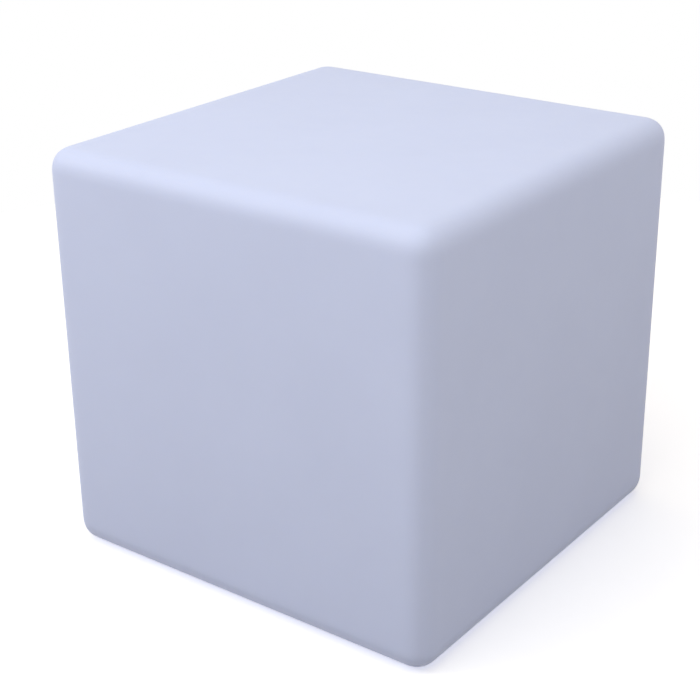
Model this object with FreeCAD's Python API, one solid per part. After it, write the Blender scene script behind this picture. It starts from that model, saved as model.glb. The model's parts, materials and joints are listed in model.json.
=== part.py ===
import FreeCAD, Part
import math
import os

from FreeCAD import Rotation, Vector

# A rechargeable cube light: a hollow, rotation-moulded polyethylene cube that stands on its flat
# underside, with a sealed lamp unit screwed up into a round recess in that underside.
# Millimetres. +Z is up, -Y is the front, and the origin is the centre of the face it stands on.

# ---------------------------------------------------------------- moulded cube
CUBE_WIDTH = 400.0  # along X and along Y
CUBE_HEIGHT = 385.0
EDGE_RADIUS = 21.0  # every outer edge of the cube
SHELL_WALL = 3.5
STANDING_RIM = 24.0  # flat rim that the cube stands on, inside the rounded edge
RELIEF_DEPTH = 2.0  # the underside is lifted by this much inside the rim
RELIEF_CORNER = 30.0
RELIEF_SLOPE = 5.0  # how far the relief's sloped border runs in
RECESS_DEPTH = 18.0  # from the standing face up to the ledge that the lamp unit is screwed to
RECESS_MOUTH_RADIUS = 4.0
RECESS_TOP_RADIUS = 1.0
LEDGE_THICKNESS = 4.0

# ---------------------------------------------------------------- lamp unit, the moulded base
CAN_RADIUS = 72.0  # outside of the round can that holds the electronics
CAN_WALL = 2.5
CAN_HEIGHT = 42.0  # from the flange's lower face to the top of the rim
CAN_ROOT_RADIUS = 2.0
FLOOR_THICKNESS = 3.0
PANEL_STEP = 0.8  # the middle of the underside is sunk by this much
PANEL_MARGIN = 12.0  # between the panel's edge and the line of the flange screws
FLANGE_THICKNESS = 4.0
FLANGE_EDGE_RADIUS = 1.5
FLANGE_CLEARANCE = 1.5  # gap between the flange and the recess wall
RIM_OVERHANG = 8.0  # the rim outside the can
RIM_INSET = 6.5  # the rim inside the can
RIM_THICKNESS = 4.0
RIM_CLEARANCE = 2.0  # gap between the rim and the opening that it passes through
GUSSET_COUNT = 12
GUSSET_THICKNESS = 2.0
GUSSET_HEIGHT = 12.0

# ---------------------------------------------------------------- flange joint
GASKET_THICKNESS = 1.5
FLANGE_SCREW_COUNT = 6
FLANGE_SCREW_INSET = 11.0  # from the opening's edge out to the line of the screws
FLANGE_OUTSIDE = 9.5  # from the line of the screws out to the flange's edge
FLANGE_SCREW_RADIUS = 2.0
FLANGE_SCREW_LENGTH = 12.0
FLANGE_HEAD_RADIUS = 3.9
FLANGE_HEAD_HEIGHT = 2.6
COUNTERBORE_DEPTH = 1.2
WASHER_RADIUS = 4.4
WASHER_THICKNESS = 0.8
INSERT_RADIUS = 3.5
INSERT_LENGTH = 10.0
INSERT_GROOVE = 0.6
BOSS_WALL = 5.0  # plastic around and above each insert

# ---------------------------------------------------------------- dome over the LEDs
DOME_WALL = 2.0
DOME_RISE = 24.0
DOME_FLANGE_THICKNESS = 2.5
DOME_SCREW_COUNT = 6
SMALL_SCREW_RADIUS = 1.5
SMALL_HEAD_RADIUS = 2.8
SMALL_HEAD_HEIGHT = 2.0
SMALL_SCREW_LENGTH = 9.0
SMALL_BOSS_RADIUS = 3.7
BOSS_BITE = 0.8  # how far the bosses outside the can run into its wall
SEAL_WIDTH = 3.0
SEAL_HEIGHT = 2.4
SEAL_SIDE_GAP = 0.1

# ---------------------------------------------------------------- LED board
BOARD_THICKNESS = 1.6
LED_BOARD_GAP = 1.0  # between the board's edge and the rim
LED_BOARD_DROP = 4.4  # from the rim's top down to the board's top
LED_POST_INSET = 3.5
LED_POST_ANGLE = 20.0  # of each post, from the X axis
LED_SIDE = 5.0
LED_HEIGHT = 1.6
LED_LENS_RADIUS = 2.0
LED_LENS_DEPTH = 0.3
LED_COUNTS = (12, 8, 4)  # in each ring, from the outermost inwards
LED_RING_MARGIN = 14.0  # from the board's edge in to the outermost ring
LED_RING_PITCH = 16.0
RECEIVER_WIDTH = 5.6
RECEIVER_DEPTH = 3.4
RECEIVER_HEIGHT = 6.8
RECEIVER_LENS_RADIUS = 2.0
PIN_SIDE = 0.6

# ---------------------------------------------------------------- battery
CELL_RADIUS = 9.1
CELL_LENGTH = 64.2
CELL_NUB_RADIUS = 3.0
CELL_NUB_HEIGHT = 0.8
CELL_GAP = 0.4
TAB_THICKNESS = 0.3
TAB_WIDTH = 6.0
PAPER_THICKNESS = 0.5
WRAP_THICKNESS = 0.3
PAD_THICKNESS = 1.5
PAD_MARGIN = 2.0
BATTERY_BACK_GAP = 3.8  # from the can's inner wall to the nearest corner of the battery
CLAMP_THICKNESS = 1.6
CLAMP_WIDTH = 20.0
CLAMP_FOOT = 9.0
CLAMP_BOSS_HEIGHT = 6.0

# ---------------------------------------------------------------- control board
CONTROL_WIDTH = 84.0
CONTROL_DEPTH = 27.0
CONTROL_POST_HEIGHT = 8.0
CONTROL_POST_INSET = 4.0
CONTROL_BATTERY_GAP = 12.0
SOCKET_WIDTH = 8.0
SOCKET_DEPTH = 4.5
SOCKET_HEIGHT = 6.0
BATTERY_SOCKET_INSET = 12.0  # of the wire sockets' middles, from the board's ends
FRONT_SOCKET_INSET = 13.0
LED_SOCKET_X = -4.0
INDUCTOR_RADIUS = 5.0
INDUCTOR_HEIGHT = 5.5
INDUCTOR_X = 19.5
CAPACITOR_RADIUS = 3.2
CAPACITOR_HEIGHT = 8.0
CAPACITOR_END_GAP = 2.3
CHIP_ROW = -4.0  # rows of parts, from the board's middle
TRANSISTOR_ROW = 6.0
CONTROLLER_SIZE = (9.9, 6.0, 1.6)
CHARGER_SIZE = (4.9, 6.0, 1.6)
TRANSISTOR_SIZE = (6.5, 6.1, 2.3)

# ---------------------------------------------------------------- button and charging socket
SERVICE_INSET = 17.0  # of both, from the can's inner wall
SERVICE_ANGLE = 31.0  # of each, either side of the front
PANEL_HOLE_CLEARANCE = 0.2
BUTTON_NECK_RADIUS = 7.0
BUTTON_NECK_LENGTH = 13.0  # above the underside
BUTTON_BEZEL_RADIUS = 10.0
BUTTON_BEZEL_THICKNESS = 2.0
BUTTON_CAP_RADIUS = 5.5
BUTTON_CAP_PROUD = 2.5
BUTTON_CAP_CLEARANCE = 0.1
BUTTON_COLLAR_WIDTH = 0.6
BUTTON_COLLAR_THICKNESS = 1.6
BUTTON_TRAVEL = 1.5
BUTTON_SYMBOL_RADIUS = 2.2
BUTTON_SYMBOL_LINE = 0.5
BUTTON_SYMBOL_DEPTH = 0.3
SPRING_RADIUS = 3.6
SPRING_WIRE = 0.5
SPRING_TURNS = 6
SWITCH_BASE_THICKNESS = 3.0
NUT_THICKNESS = 2.5
NUT_WIDTH = 19.0  # across the flats
SOCKET_NECK_RADIUS = 6.0
SOCKET_NECK_LENGTH = 12.0
SOCKET_BEZEL_RADIUS = 8.0
SOCKET_BEZEL_THICKNESS = 2.0
SOCKET_WELL_RADIUS = 4.6
SOCKET_WELL_DEPTH = 3.5
SOCKET_BORE_RADIUS = 2.85
SOCKET_BORE_DEPTH = 9.5
SOCKET_PIN_RADIUS = 1.0
SOCKET_PIN_SUNK = 0.8  # the pin's tip, above the bottom of the well
STRAP_THICKNESS = 1.2
STRAP_WIDTH = 5.0
STRAP_REACH = 13.5  # from the socket's axis to the fold
STRAP_RING_RADIUS = 9.5
CAP_THICKNESS = 2.0
CAP_LUG_REACH = 10.5
CAP_TAB_REACH = 12.0
CAP_TAB_WIDTH = 6.0
CAP_NUB_RADIUS = 4.3
CAP_NUB_TAPER = 0.4
CAP_NUB_HEIGHT = 3.1
LIGHT_PIPE_RADIUS = 2.0
LIGHT_PIPE_COLLAR = 1.2
LIGHT_PIPE_PROUD = 0.5
INDICATOR_SIDE = 3.0
INDICATOR_HEIGHT = 0.8
INDICATOR_GAP = 0.2
LED_LEAD_OFFSET = 5.0  # between the LED board's socket and the one that feeds it
TERMINAL_LENGTH = 6.0
TERMINAL_WIDTH = 2.4
TERMINAL_THICKNESS = 0.5
TERMINAL_SPACING = 5.0
WIRE_RADIUS = 0.6
WIRE_SPACING = 2.0
WIRE_RISE = 8.0  # of a lead's arch above the straight line between its ends
WIRE_POINTS = 6  # points along an arch
WIRE_STUB = 3.0  # straight end of a lead

FIT = 0.05  # radial gap of a screw in its plain hole
HOLE_CLEARANCE = 0.3  # radial gap of a screw in a hole that it only passes through

# ---------------------------------------------------------------- levels and radii that follow
LEDGE_LOW = RECESS_DEPTH
LEDGE_HIGH = LEDGE_LOW + LEDGE_THICKNESS
FLANGE_TOP = LEDGE_LOW - GASKET_THICKNESS
FLANGE_LOW = FLANGE_TOP - FLANGE_THICKNESS
PANEL = FLANGE_LOW + PANEL_STEP  # underside of the sunk panel
FLOOR_TOP = PANEL + FLOOR_THICKNESS
RIM_TOP = FLANGE_LOW + CAN_HEIGHT
RIM_LOW = RIM_TOP - RIM_THICKNESS
CAN_INSIDE = CAN_RADIUS - CAN_WALL
RIM_RADIUS = CAN_RADIUS + RIM_OVERHANG
RIM_INNER = CAN_INSIDE - RIM_INSET
OPENING_RADIUS = RIM_RADIUS + RIM_CLEARANCE
FLANGE_SCREW_CIRCLE = OPENING_RADIUS + FLANGE_SCREW_INSET
FLANGE_RADIUS = FLANGE_SCREW_CIRCLE + FLANGE_OUTSIDE
RECESS_RADIUS = FLANGE_RADIUS + FLANGE_CLEARANCE
PANEL_RADIUS = FLANGE_SCREW_CIRCLE - PANEL_MARGIN
SCREW_SEAT = FLANGE_LOW + COUNTERBORE_DEPTH  # lower face of the flange inside a counterbore
SEAL_RADIUS = CAN_RADIUS - CAN_WALL / 2
DOME_RADIUS = SEAL_RADIUS - SEAL_WIDTH
DOME_SCREW_CIRCLE = CAN_RADIUS + SMALL_BOSS_RADIUS - BOSS_BITE
DOME_FLANGE_TOP = RIM_TOP + DOME_FLANGE_THICKNESS
LED_BOARD_TOP = RIM_TOP - LED_BOARD_DROP
LED_BOARD_LOW = LED_BOARD_TOP - BOARD_THICKNESS
LED_BOARD_RADIUS = RIM_INNER - LED_BOARD_GAP
LED_POST_CIRCLE = LED_BOARD_RADIUS - LED_POST_INSET

CELL_PITCH = 2 * CELL_RADIUS + CELL_GAP
WRAP_RADIUS = CELL_RADIUS + WRAP_THICKNESS
PACK_LENGTH = CELL_LENGTH + CELL_NUB_HEIGHT + 2 * (TAB_THICKNESS + PAPER_THICKNESS)
PACK_HALF_WIDTH = CELL_PITCH / 2 + WRAP_RADIUS
PACK_BACK = math.sqrt((CAN_INSIDE - BATTERY_BACK_GAP) ** 2 - (PACK_LENGTH / 2) ** 2)
CLAMP_FOOT_REACH = CLAMP_THICKNESS + CLAMP_FOOT / 2
CLAMP_BACK_LIMIT = CAN_INSIDE - SMALL_BOSS_RADIUS - CLAMP_FOOT_REACH
PACK_Y = min(PACK_BACK, CLAMP_BACK_LIMIT) - PACK_HALF_WIDTH
PACK_LOW = FLOOR_TOP + PAD_THICKNESS
PACK_AXIS = PACK_LOW + WRAP_RADIUS
PACK_TOP = PACK_AXIS + WRAP_RADIUS
CELL_LOW_X = -PACK_LENGTH / 2 + PAPER_THICKNESS + TAB_THICKNESS

CONTROL_BACK = PACK_Y - PACK_HALF_WIDTH - CONTROL_BATTERY_GAP
CONTROL_Y = CONTROL_BACK - CONTROL_DEPTH / 2
CONTROL_LOW = FLOOR_TOP + CONTROL_POST_HEIGHT
CONTROL_TOP = CONTROL_LOW + BOARD_THICKNESS
SOCKET_TOP = CONTROL_TOP + SOCKET_HEIGHT

SERVICE_RADIUS = CAN_INSIDE - SERVICE_INSET
SERVICE_X = SERVICE_RADIUS * math.sin(math.radians(SERVICE_ANGLE))
SERVICE_Y = -SERVICE_RADIUS * math.cos(math.radians(SERVICE_ANGLE))
BUTTON_X = -SERVICE_X
SOCKET_X = SERVICE_X
BUTTON_BEZEL_LOW = PANEL - BUTTON_BEZEL_THICKNESS
BUTTON_CAP_LOW = BUTTON_BEZEL_LOW - BUTTON_CAP_PROUD
BUTTON_SHOULDER = PANEL + 1.0  # where the cap's collar stops inside the neck
BUTTON_CHAMBER_RADIUS = BUTTON_CAP_RADIUS + BUTTON_COLLAR_WIDTH + BUTTON_CAP_CLEARANCE
BUTTON_NECK_TOP = PANEL + BUTTON_NECK_LENGTH
STRAP_LOW = PANEL - STRAP_THICKNESS
SOCKET_BEZEL_LOW = STRAP_LOW - SOCKET_BEZEL_THICKNESS
SOCKET_WELL_TOP = SOCKET_BEZEL_LOW + SOCKET_WELL_DEPTH
SOCKET_BORE_TOP = SOCKET_WELL_TOP + SOCKET_BORE_DEPTH
SOCKET_NECK_TOP = PANEL + SOCKET_NECK_LENGTH
CAP_LOW = SOCKET_BEZEL_LOW - CAP_THICKNESS
STRAP_LOWER_AXIS = CAP_LOW + CAP_THICKNESS / 2
STRAP_UPPER_AXIS = PANEL - STRAP_THICKNESS / 2
FOLD_X = SOCKET_X - STRAP_REACH
FOLD_Z = (STRAP_LOWER_AXIS + STRAP_UPPER_AXIS) / 2
INDICATOR_Y = CONTROL_Y + CONTROL_DEPTH / 4


# ---------------------------------------------------------------- helpers
def disc(radius, low, high, x=0.0, y=0.0):
    return Part.makeCylinder(radius, high - low, Vector(x, y, low))


def ring(inner, outer, low, high, x=0.0, y=0.0):
    return disc(outer, low, high, x, y).cut(disc(inner, low - 1, high + 1, x, y))


def block(x, y, low, width, depth, height):
    """A box centred on (x, y) that stands on the level low."""
    return Part.makeBox(width, depth, height, Vector(x - width / 2, y - depth / 2, low))


def fuse(solids):
    joined = solids[0].fuse(list(solids[1:])) if len(solids) > 1 else solids[0]
    return joined.removeSplitter()


def on_circle(radius, count, first=0.0):
    """Points spread evenly on a circle about Z, the first at that angle in degrees."""
    angles = [math.radians(first + 360.0 * i / count) for i in range(count)]
    return [(radius * math.cos(a), radius * math.sin(a)) for a in angles]


def turned(profile):
    """A solid turned about Z from (radius, height) corners; three-point arcs are ("arc", mid, end)."""
    edges = []
    here = Vector(profile[0][0], 0, profile[0][1])
    for step in list(profile[1:]) + [profile[0]]:
        if step[0] == "arc":
            mid = Vector(step[1][0], 0, step[1][1])
            end = Vector(step[2][0], 0, step[2][1])
            edges.append(Part.Arc(here, mid, end).toShape())
        else:
            end = Vector(step[0], 0, step[1])
            edges.append(Part.LineSegment(here, end).toShape())
        here = end
    face = Part.Face(Part.Wire(edges))
    return face.revolve(Vector(0, 0, 0), Vector(0, 0, 1), 360)


def corner(centre, radius, middle_angle, end):
    """The arc step that rounds a corner of a turned profile."""
    angle = math.radians(middle_angle)
    middle = (centre[0] + radius * math.cos(angle), centre[1] + radius * math.sin(angle))
    return ("arc", middle, end)


def rounded_square(side, radius, level):
    """A square wire with rounded corners, centred on Z."""
    half = side / 2
    k = radius * (1 - math.sqrt(0.5))
    edges = []
    for quarter in range(4):
        turn = Rotation(Vector(0, 0, 1), 90 * quarter)
        points = [
            (half, -half + radius),
            (half, half - radius),
            (half - k, half - k),
            (half - radius, half),
        ]
        a, b, c, d = [turn.multVec(Vector(x, y, 0)) + Vector(0, 0, level) for x, y in points]
        edges.append(Part.LineSegment(a, b).toShape())
        edges.append(Part.Arc(b, c, d).toShape())
    return Part.Wire(edges)


def rounded_box(side, height, radius, low):
    """A square box with every edge rounded, standing on the level low."""
    box = block(0, 0, low, side, side, height)
    return box.makeFillet(radius, box.Edges)


def hexagon(width, low, high, x, y):
    """A hexagonal prism of that width across its flats."""
    reach = width / math.sqrt(3)
    corners = [Vector(x + px, y + py, low) for px, py in on_circle(reach, 6, 30)]
    face = Part.Face(Part.makePolygon(corners + corners[:1]))
    return face.extrude(Vector(0, 0, high - low))


def stadium(radius, low_x, high_x):
    """A bar along X whose section is two circles side by side, joined by flats: the battery's outline."""
    half = CELL_PITCH / 2
    y_low, y_high = PACK_Y - half, PACK_Y + half
    a = Vector(low_x, y_low, PACK_AXIS - radius)
    b = Vector(low_x, y_high, PACK_AXIS - radius)
    c = Vector(low_x, y_high + radius, PACK_AXIS)
    d = Vector(low_x, y_high, PACK_AXIS + radius)
    e = Vector(low_x, y_low, PACK_AXIS + radius)
    f = Vector(low_x, y_low - radius, PACK_AXIS)
    edges = [
        Part.LineSegment(a, b).toShape(),
        Part.Arc(b, c, d).toShape(),
        Part.LineSegment(d, e).toShape(),
        Part.Arc(e, f, a).toShape(),
    ]
    return Part.Face(Part.Wire(edges)).extrude(Vector(high_x - low_x, 0, 0))


def screw(x, y, seat, length, radius, head_radius, head_height, up=False):
    """A pan-head screw with a cross drive. Its head sits on the level seat; up=True drives it upwards."""
    head = disc(head_radius, 0, head_height)
    top_edges = [e for e in head.Edges if abs(e.CenterOfMass.z - head_height) < 1e-6]
    head = head.makeFillet(head_height * 0.45, top_edges)
    slot_length, slot_width, slot_depth = head_radius * 1.1, head_radius * 0.26, head_height * 0.5
    for width, depth in ((slot_length, slot_width), (slot_width, slot_length)):
        head = head.cut(block(0, 0, head_height - slot_depth, width, depth, slot_depth + 1))
    shank = disc(radius, -length, 0)
    tip = [e for e in shank.Edges if abs(e.CenterOfMass.z + length) < 1e-6]
    whole = fuse([head, shank.makeChamfer(radius * 0.4, tip)])
    if up:
        whole.rotate(Vector(0, 0, 0), Vector(1, 0, 0), 180)
    whole.translate(Vector(x, y, seat))
    return whole


def tube(points, radius):
    """A round tube along straight runs that are joined by tangent arcs, as large as their runs allow."""
    points = [Vector(*p) for p in points]
    edges, radii = [], []
    here = points[0]
    for before, at, after in zip(points, points[1:], points[2:]):
        into, out = (at - before).normalize(), (after - at).normalize()
        turn = into.getAngle(out)
        reach = 0.45 * min((at - before).Length, (after - at).Length)
        arc_radius = reach / math.tan(turn / 2)
        radii.append(arc_radius)
        start, end = at - into * reach, at + out * reach
        inward = (out - into).normalize()
        middle = at + inward * (arc_radius / math.cos(turn / 2) - arc_radius)
        edges.append(Part.LineSegment(here, start).toShape())
        edges.append(Part.Arc(start, middle, end).toShape())
        here = end
    edges.append(Part.LineSegment(here, points[-1]).toShape())
    path = Part.Wire(edges)
    first = (points[1] - points[0]).normalize()
    section = Part.Wire(Part.makeCircle(radius, points[0], first))
    solid = path.makePipeShell([section], True, False)
    filled = solid.Volume / (math.pi * radius * radius * path.Length)
    print(f"tube: least bend radius {min(radii):.2f}, length {path.Length:.1f}, volume ratio {filled:.5f}")
    return solid


def arch(start, end, rise):
    """Points of a wire that climbs from one place and comes down on another, in a plane that stands up."""
    start, end = Vector(*start), Vector(*end)
    points = [start]
    for i in range(WIRE_POINTS):
        angle = math.pi * i / (WIRE_POINTS - 1)
        along = (1 - math.cos(angle)) / 2
        climb = WIRE_STUB + (rise - WIRE_STUB) * math.sin(angle)
        points.append(start + (end - start) * along + Vector(0, 0, climb))
    return points + [end]


def biarc(start, start_way, end, end_way):
    """Two arcs that meet smoothly and leave and reach the given points in the given directions."""
    across, ways = end - start, start_way + end_way
    spread = 2 * (1 - start_way.dot(end_way))
    dot = across.dot(ways)
    reach = (math.sqrt(dot * dot + spread * across.dot(across)) - dot) / spread
    knees = [start + start_way * reach, end - end_way * reach]
    joint = (knees[0] + knees[1]) / 2
    arcs = []
    for a, knee, b in ((start, knees[0], joint), (joint, knees[1], end)):
        chord = (b - a).Length / 2
        middle = (a + b) / 2
        sag = chord * math.tan(math.asin(min(1.0, (knee - middle).Length / reach)) / 2)
        arcs.append(Part.Arc(a, middle + (knee - middle).normalize() * sag, b).toShape())
    return arcs


def terminals(x, y, low):
    """Two flat brass blades that stand on the back of a panel fitting."""
    return [
        block(x + side * TERMINAL_SPACING / 2, y, low, TERMINAL_THICKNESS, TERMINAL_WIDTH, TERMINAL_LENGTH)
        for side in (-1, 1)
    ]


# ---------------------------------------------------------------- places shared by several pieces
FLANGE_SCREWS = on_circle(FLANGE_SCREW_CIRCLE, FLANGE_SCREW_COUNT, 90)
DOME_SCREWS = on_circle(DOME_SCREW_CIRCLE, DOME_SCREW_COUNT, 60)
LED_POST_X = LED_POST_CIRCLE * math.cos(math.radians(LED_POST_ANGLE))
LED_POST_Y = LED_POST_CIRCLE * math.sin(math.radians(LED_POST_ANGLE))
LED_POSTS = [(sx * LED_POST_X, sy * LED_POST_Y) for sx in (-1, 1) for sy in (-1, 1)]
CONTROL_POSTS = [
    (
        sx * (CONTROL_WIDTH / 2 - CONTROL_POST_INSET),
        CONTROL_Y + sy * (CONTROL_DEPTH / 2 - CONTROL_POST_INSET),
    )
    for sx in (-1, 1)
    for sy in (-1, 1)
]
CLAMP_POSTS = [(0, PACK_Y + side * (PACK_HALF_WIDTH + CLAMP_FOOT_REACH)) for side in (-1, 1)]


# ---------------------------------------------------------------- moulded cube
def recess_tool(offset=0.0):
    """The round recess in the underside; offset grows it by the wall, for the cavity above it."""
    if offset:
        plug = disc(RECESS_RADIUS + offset, 0, LEDGE_HIGH)
        top = [e for e in plug.Edges if abs(e.CenterOfMass.z - LEDGE_HIGH) < 1e-6]
        return plug.makeFillet(RECESS_TOP_RADIUS + offset, top)
    mouth, top = RECESS_MOUTH_RADIUS, RECESS_TOP_RADIUS
    wide = RECESS_RADIUS + mouth
    return turned(
        [
            (0, -1),
            (wide, -1),
            (wide, RELIEF_DEPTH),
            corner((wide, RELIEF_DEPTH + mouth), mouth, 225, (RECESS_RADIUS, RELIEF_DEPTH + mouth)),
            (RECESS_RADIUS, LEDGE_LOW - top),
            corner((RECESS_RADIUS - top, LEDGE_LOW - top), top, 45, (RECESS_RADIUS - top, LEDGE_LOW)),
            (0, LEDGE_LOW),
        ]
    )


def relief_tool():
    """The shallow square lift of the underside, with a sloped border."""
    side = CUBE_WIDTH - 2 * (EDGE_RADIUS + STANDING_RIM)
    over = RELIEF_SLOPE / RELIEF_DEPTH  # so that the tool starts a millimetre below the face
    wires = [
        rounded_square(side + 2 * over, RELIEF_CORNER + over, -1),
        rounded_square(side - 2 * RELIEF_SLOPE, RELIEF_CORNER - RELIEF_SLOPE, RELIEF_DEPTH),
    ]
    return Part.makeLoft(wires, True, True)


def make_shell():
    outer = rounded_box(CUBE_WIDTH, CUBE_HEIGHT, EDGE_RADIUS, 0)
    cavity = rounded_box(
        CUBE_WIDTH - 2 * SHELL_WALL, CUBE_HEIGHT - 2 * SHELL_WALL, EDGE_RADIUS - SHELL_WALL, SHELL_WALL
    )
    lift_side = CUBE_WIDTH - 2 * (EDGE_RADIUS + STANDING_RIM) + 2 * SHELL_WALL
    lift = Part.Face(rounded_square(lift_side, RELIEF_CORNER + SHELL_WALL, 0))
    kept = [lift.extrude(Vector(0, 0, SHELL_WALL + RELIEF_DEPTH)), recess_tool(SHELL_WALL)]
    boss_top = LEDGE_LOW + INSERT_LENGTH + BOSS_WALL
    kept += [disc(INSERT_RADIUS + BOSS_WALL, LEDGE_LOW, boss_top, x, y) for x, y in FLANGE_SCREWS]
    cavity = cavity.cut(kept)
    tools = [cavity, relief_tool(), recess_tool()]
    tools.append(disc(OPENING_RADIUS, LEDGE_LOW - 1, LEDGE_HIGH + 1))
    screw_end = SCREW_SEAT - WASHER_THICKNESS + FLANGE_SCREW_LENGTH
    for x, y in FLANGE_SCREWS:
        tools.append(disc(INSERT_RADIUS, LEDGE_LOW - 1, LEDGE_LOW + INSERT_LENGTH, x, y))
        if screw_end > LEDGE_LOW + INSERT_LENGTH:
            tools.append(disc(FLANGE_SCREW_RADIUS + FIT, LEDGE_LOW, screw_end + FIT, x, y))
    return outer.cut(tools)


def make_inserts():
    inserts = []
    for x, y in FLANGE_SCREWS:
        body = disc(INSERT_RADIUS, LEDGE_LOW, LEDGE_LOW + INSERT_LENGTH, x, y)
        low, high = LEDGE_LOW + INSERT_LENGTH * 0.4, LEDGE_LOW + INSERT_LENGTH * 0.6
        groove = ring(INSERT_RADIUS - INSERT_GROOVE, INSERT_RADIUS + 1, low, high, x, y)
        bore = disc(FLANGE_SCREW_RADIUS + FIT, LEDGE_LOW - 1, LEDGE_LOW + INSERT_LENGTH + 1, x, y)
        inserts.append(body.cut([groove, bore]))
    return inserts


def make_gasket():
    flat = ring(OPENING_RADIUS, FLANGE_RADIUS - RECESS_TOP_RADIUS, FLANGE_TOP, LEDGE_LOW)
    holes = [
        disc(FLANGE_SCREW_RADIUS + HOLE_CLEARANCE, FLANGE_TOP - 1, LEDGE_LOW + 1, x, y)
        for x, y in FLANGE_SCREWS
    ]
    return flat.cut(holes)


# ---------------------------------------------------------------- lamp unit: moulded base and dome
def make_housing():
    edge, root = FLANGE_EDGE_RADIUS, CAN_ROOT_RADIUS
    flat_end = FLANGE_RADIUS - edge
    groove_in = SEAL_RADIUS - SEAL_WIDTH / 2 - SEAL_SIDE_GAP
    groove_out = SEAL_RADIUS + SEAL_WIDTH / 2 + SEAL_SIDE_GAP
    body = turned(
        [
            (0, PANEL),
            (PANEL_RADIUS, PANEL),
            (PANEL_RADIUS + PANEL_STEP, FLANGE_LOW),
            (flat_end, FLANGE_LOW),
            corner((flat_end, FLANGE_LOW + edge), edge, -45, (FLANGE_RADIUS, FLANGE_LOW + edge)),
            (FLANGE_RADIUS, FLANGE_TOP),
            (CAN_RADIUS + root, FLANGE_TOP),
            corner((CAN_RADIUS + root, FLANGE_TOP + root), root, 225, (CAN_RADIUS, FLANGE_TOP + root)),
            (CAN_RADIUS, RIM_LOW),
            (RIM_RADIUS, RIM_LOW),
            (RIM_RADIUS, RIM_TOP),
            (groove_out, RIM_TOP),
            (groove_out, RIM_TOP - SEAL_HEIGHT),
            (groove_in, RIM_TOP - SEAL_HEIGHT),
            (groove_in, RIM_TOP),
            (RIM_INNER, RIM_TOP),
            (RIM_INNER, RIM_LOW),
            (CAN_INSIDE, RIM_LOW),
            (CAN_INSIDE, FLOOR_TOP),
            (0, FLOOR_TOP),
        ]
    )
    added, cuts = [], []
    for x, y in LED_POSTS:
        added.append(disc(SMALL_BOSS_RADIUS, FLOOR_TOP - 1, LED_BOARD_LOW, x, y))
        cuts.append(small_hole(x, y, LED_BOARD_TOP))
    for x, y in CONTROL_POSTS:
        added.append(disc(SMALL_BOSS_RADIUS, FLOOR_TOP - 1, CONTROL_LOW, x, y))
        cuts.append(small_hole(x, y, CONTROL_TOP))
    for x, y in CLAMP_POSTS:
        added.append(disc(SMALL_BOSS_RADIUS, FLOOR_TOP - 1, FLOOR_TOP + CLAMP_BOSS_HEIGHT, x, y))
        cuts.append(small_hole(x, y, FLOOR_TOP + CLAMP_BOSS_HEIGHT + CLAMP_THICKNESS))
    boss_low = DOME_FLANGE_TOP - SMALL_SCREW_LENGTH - 2.0
    for x, y in DOME_SCREWS:
        added.append(disc(SMALL_BOSS_RADIUS, boss_low, RIM_LOW + 1, x, y))
        cuts.append(small_hole(x, y, DOME_FLANGE_TOP))
    for x, y in on_circle(1.0, GUSSET_COUNT, 180 / GUSSET_COUNT):
        added.append(gusset(math.degrees(math.atan2(y, x))))
    for x, y in FLANGE_SCREWS:
        cuts.append(disc(FLANGE_SCREW_RADIUS + HOLE_CLEARANCE, FLANGE_LOW - 1, FLANGE_TOP + 1, x, y))
        cuts.append(disc(WASHER_RADIUS + HOLE_CLEARANCE, FLANGE_LOW - 1, SCREW_SEAT, x, y))
    button_hole = BUTTON_NECK_RADIUS + PANEL_HOLE_CLEARANCE
    socket_hole = SOCKET_NECK_RADIUS + PANEL_HOLE_CLEARANCE
    cuts.append(disc(button_hole, PANEL - 1, FLOOR_TOP + 1, BUTTON_X, SERVICE_Y))
    cuts.append(disc(socket_hole, PANEL - 1, FLOOR_TOP + 1, SOCKET_X, SERVICE_Y))
    cuts.append(disc(LIGHT_PIPE_RADIUS + FIT, PANEL - 1, FLOOR_TOP + 1, 0, INDICATOR_Y))
    return fuse([body] + added).cut(cuts)


def small_hole(x, y, seat):
    """The blind hole of a small screw whose head sits on the level seat."""
    return disc(SMALL_SCREW_RADIUS + FIT, seat - SMALL_SCREW_LENGTH - 0.5, seat + 1, x, y)


def gusset(angle):
    """A thin triangular rib between the can and the flange."""
    low, inner = FLANGE_TOP - 0.5, CAN_RADIUS - CAN_WALL / 2
    outer = RIM_RADIUS
    corners = [
        Vector(inner, -GUSSET_THICKNESS / 2, low),
        Vector(outer, -GUSSET_THICKNESS / 2, low),
        Vector(outer, -GUSSET_THICKNESS / 2, low + 1.5),
        Vector(inner, -GUSSET_THICKNESS / 2, low + GUSSET_HEIGHT),
    ]
    rib = Part.Face(Part.makePolygon(corners + corners[:1])).extrude(Vector(0, GUSSET_THICKNESS, 0))
    rib.rotate(Vector(0, 0, 0), Vector(0, 0, 1), angle)
    return rib


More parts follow.
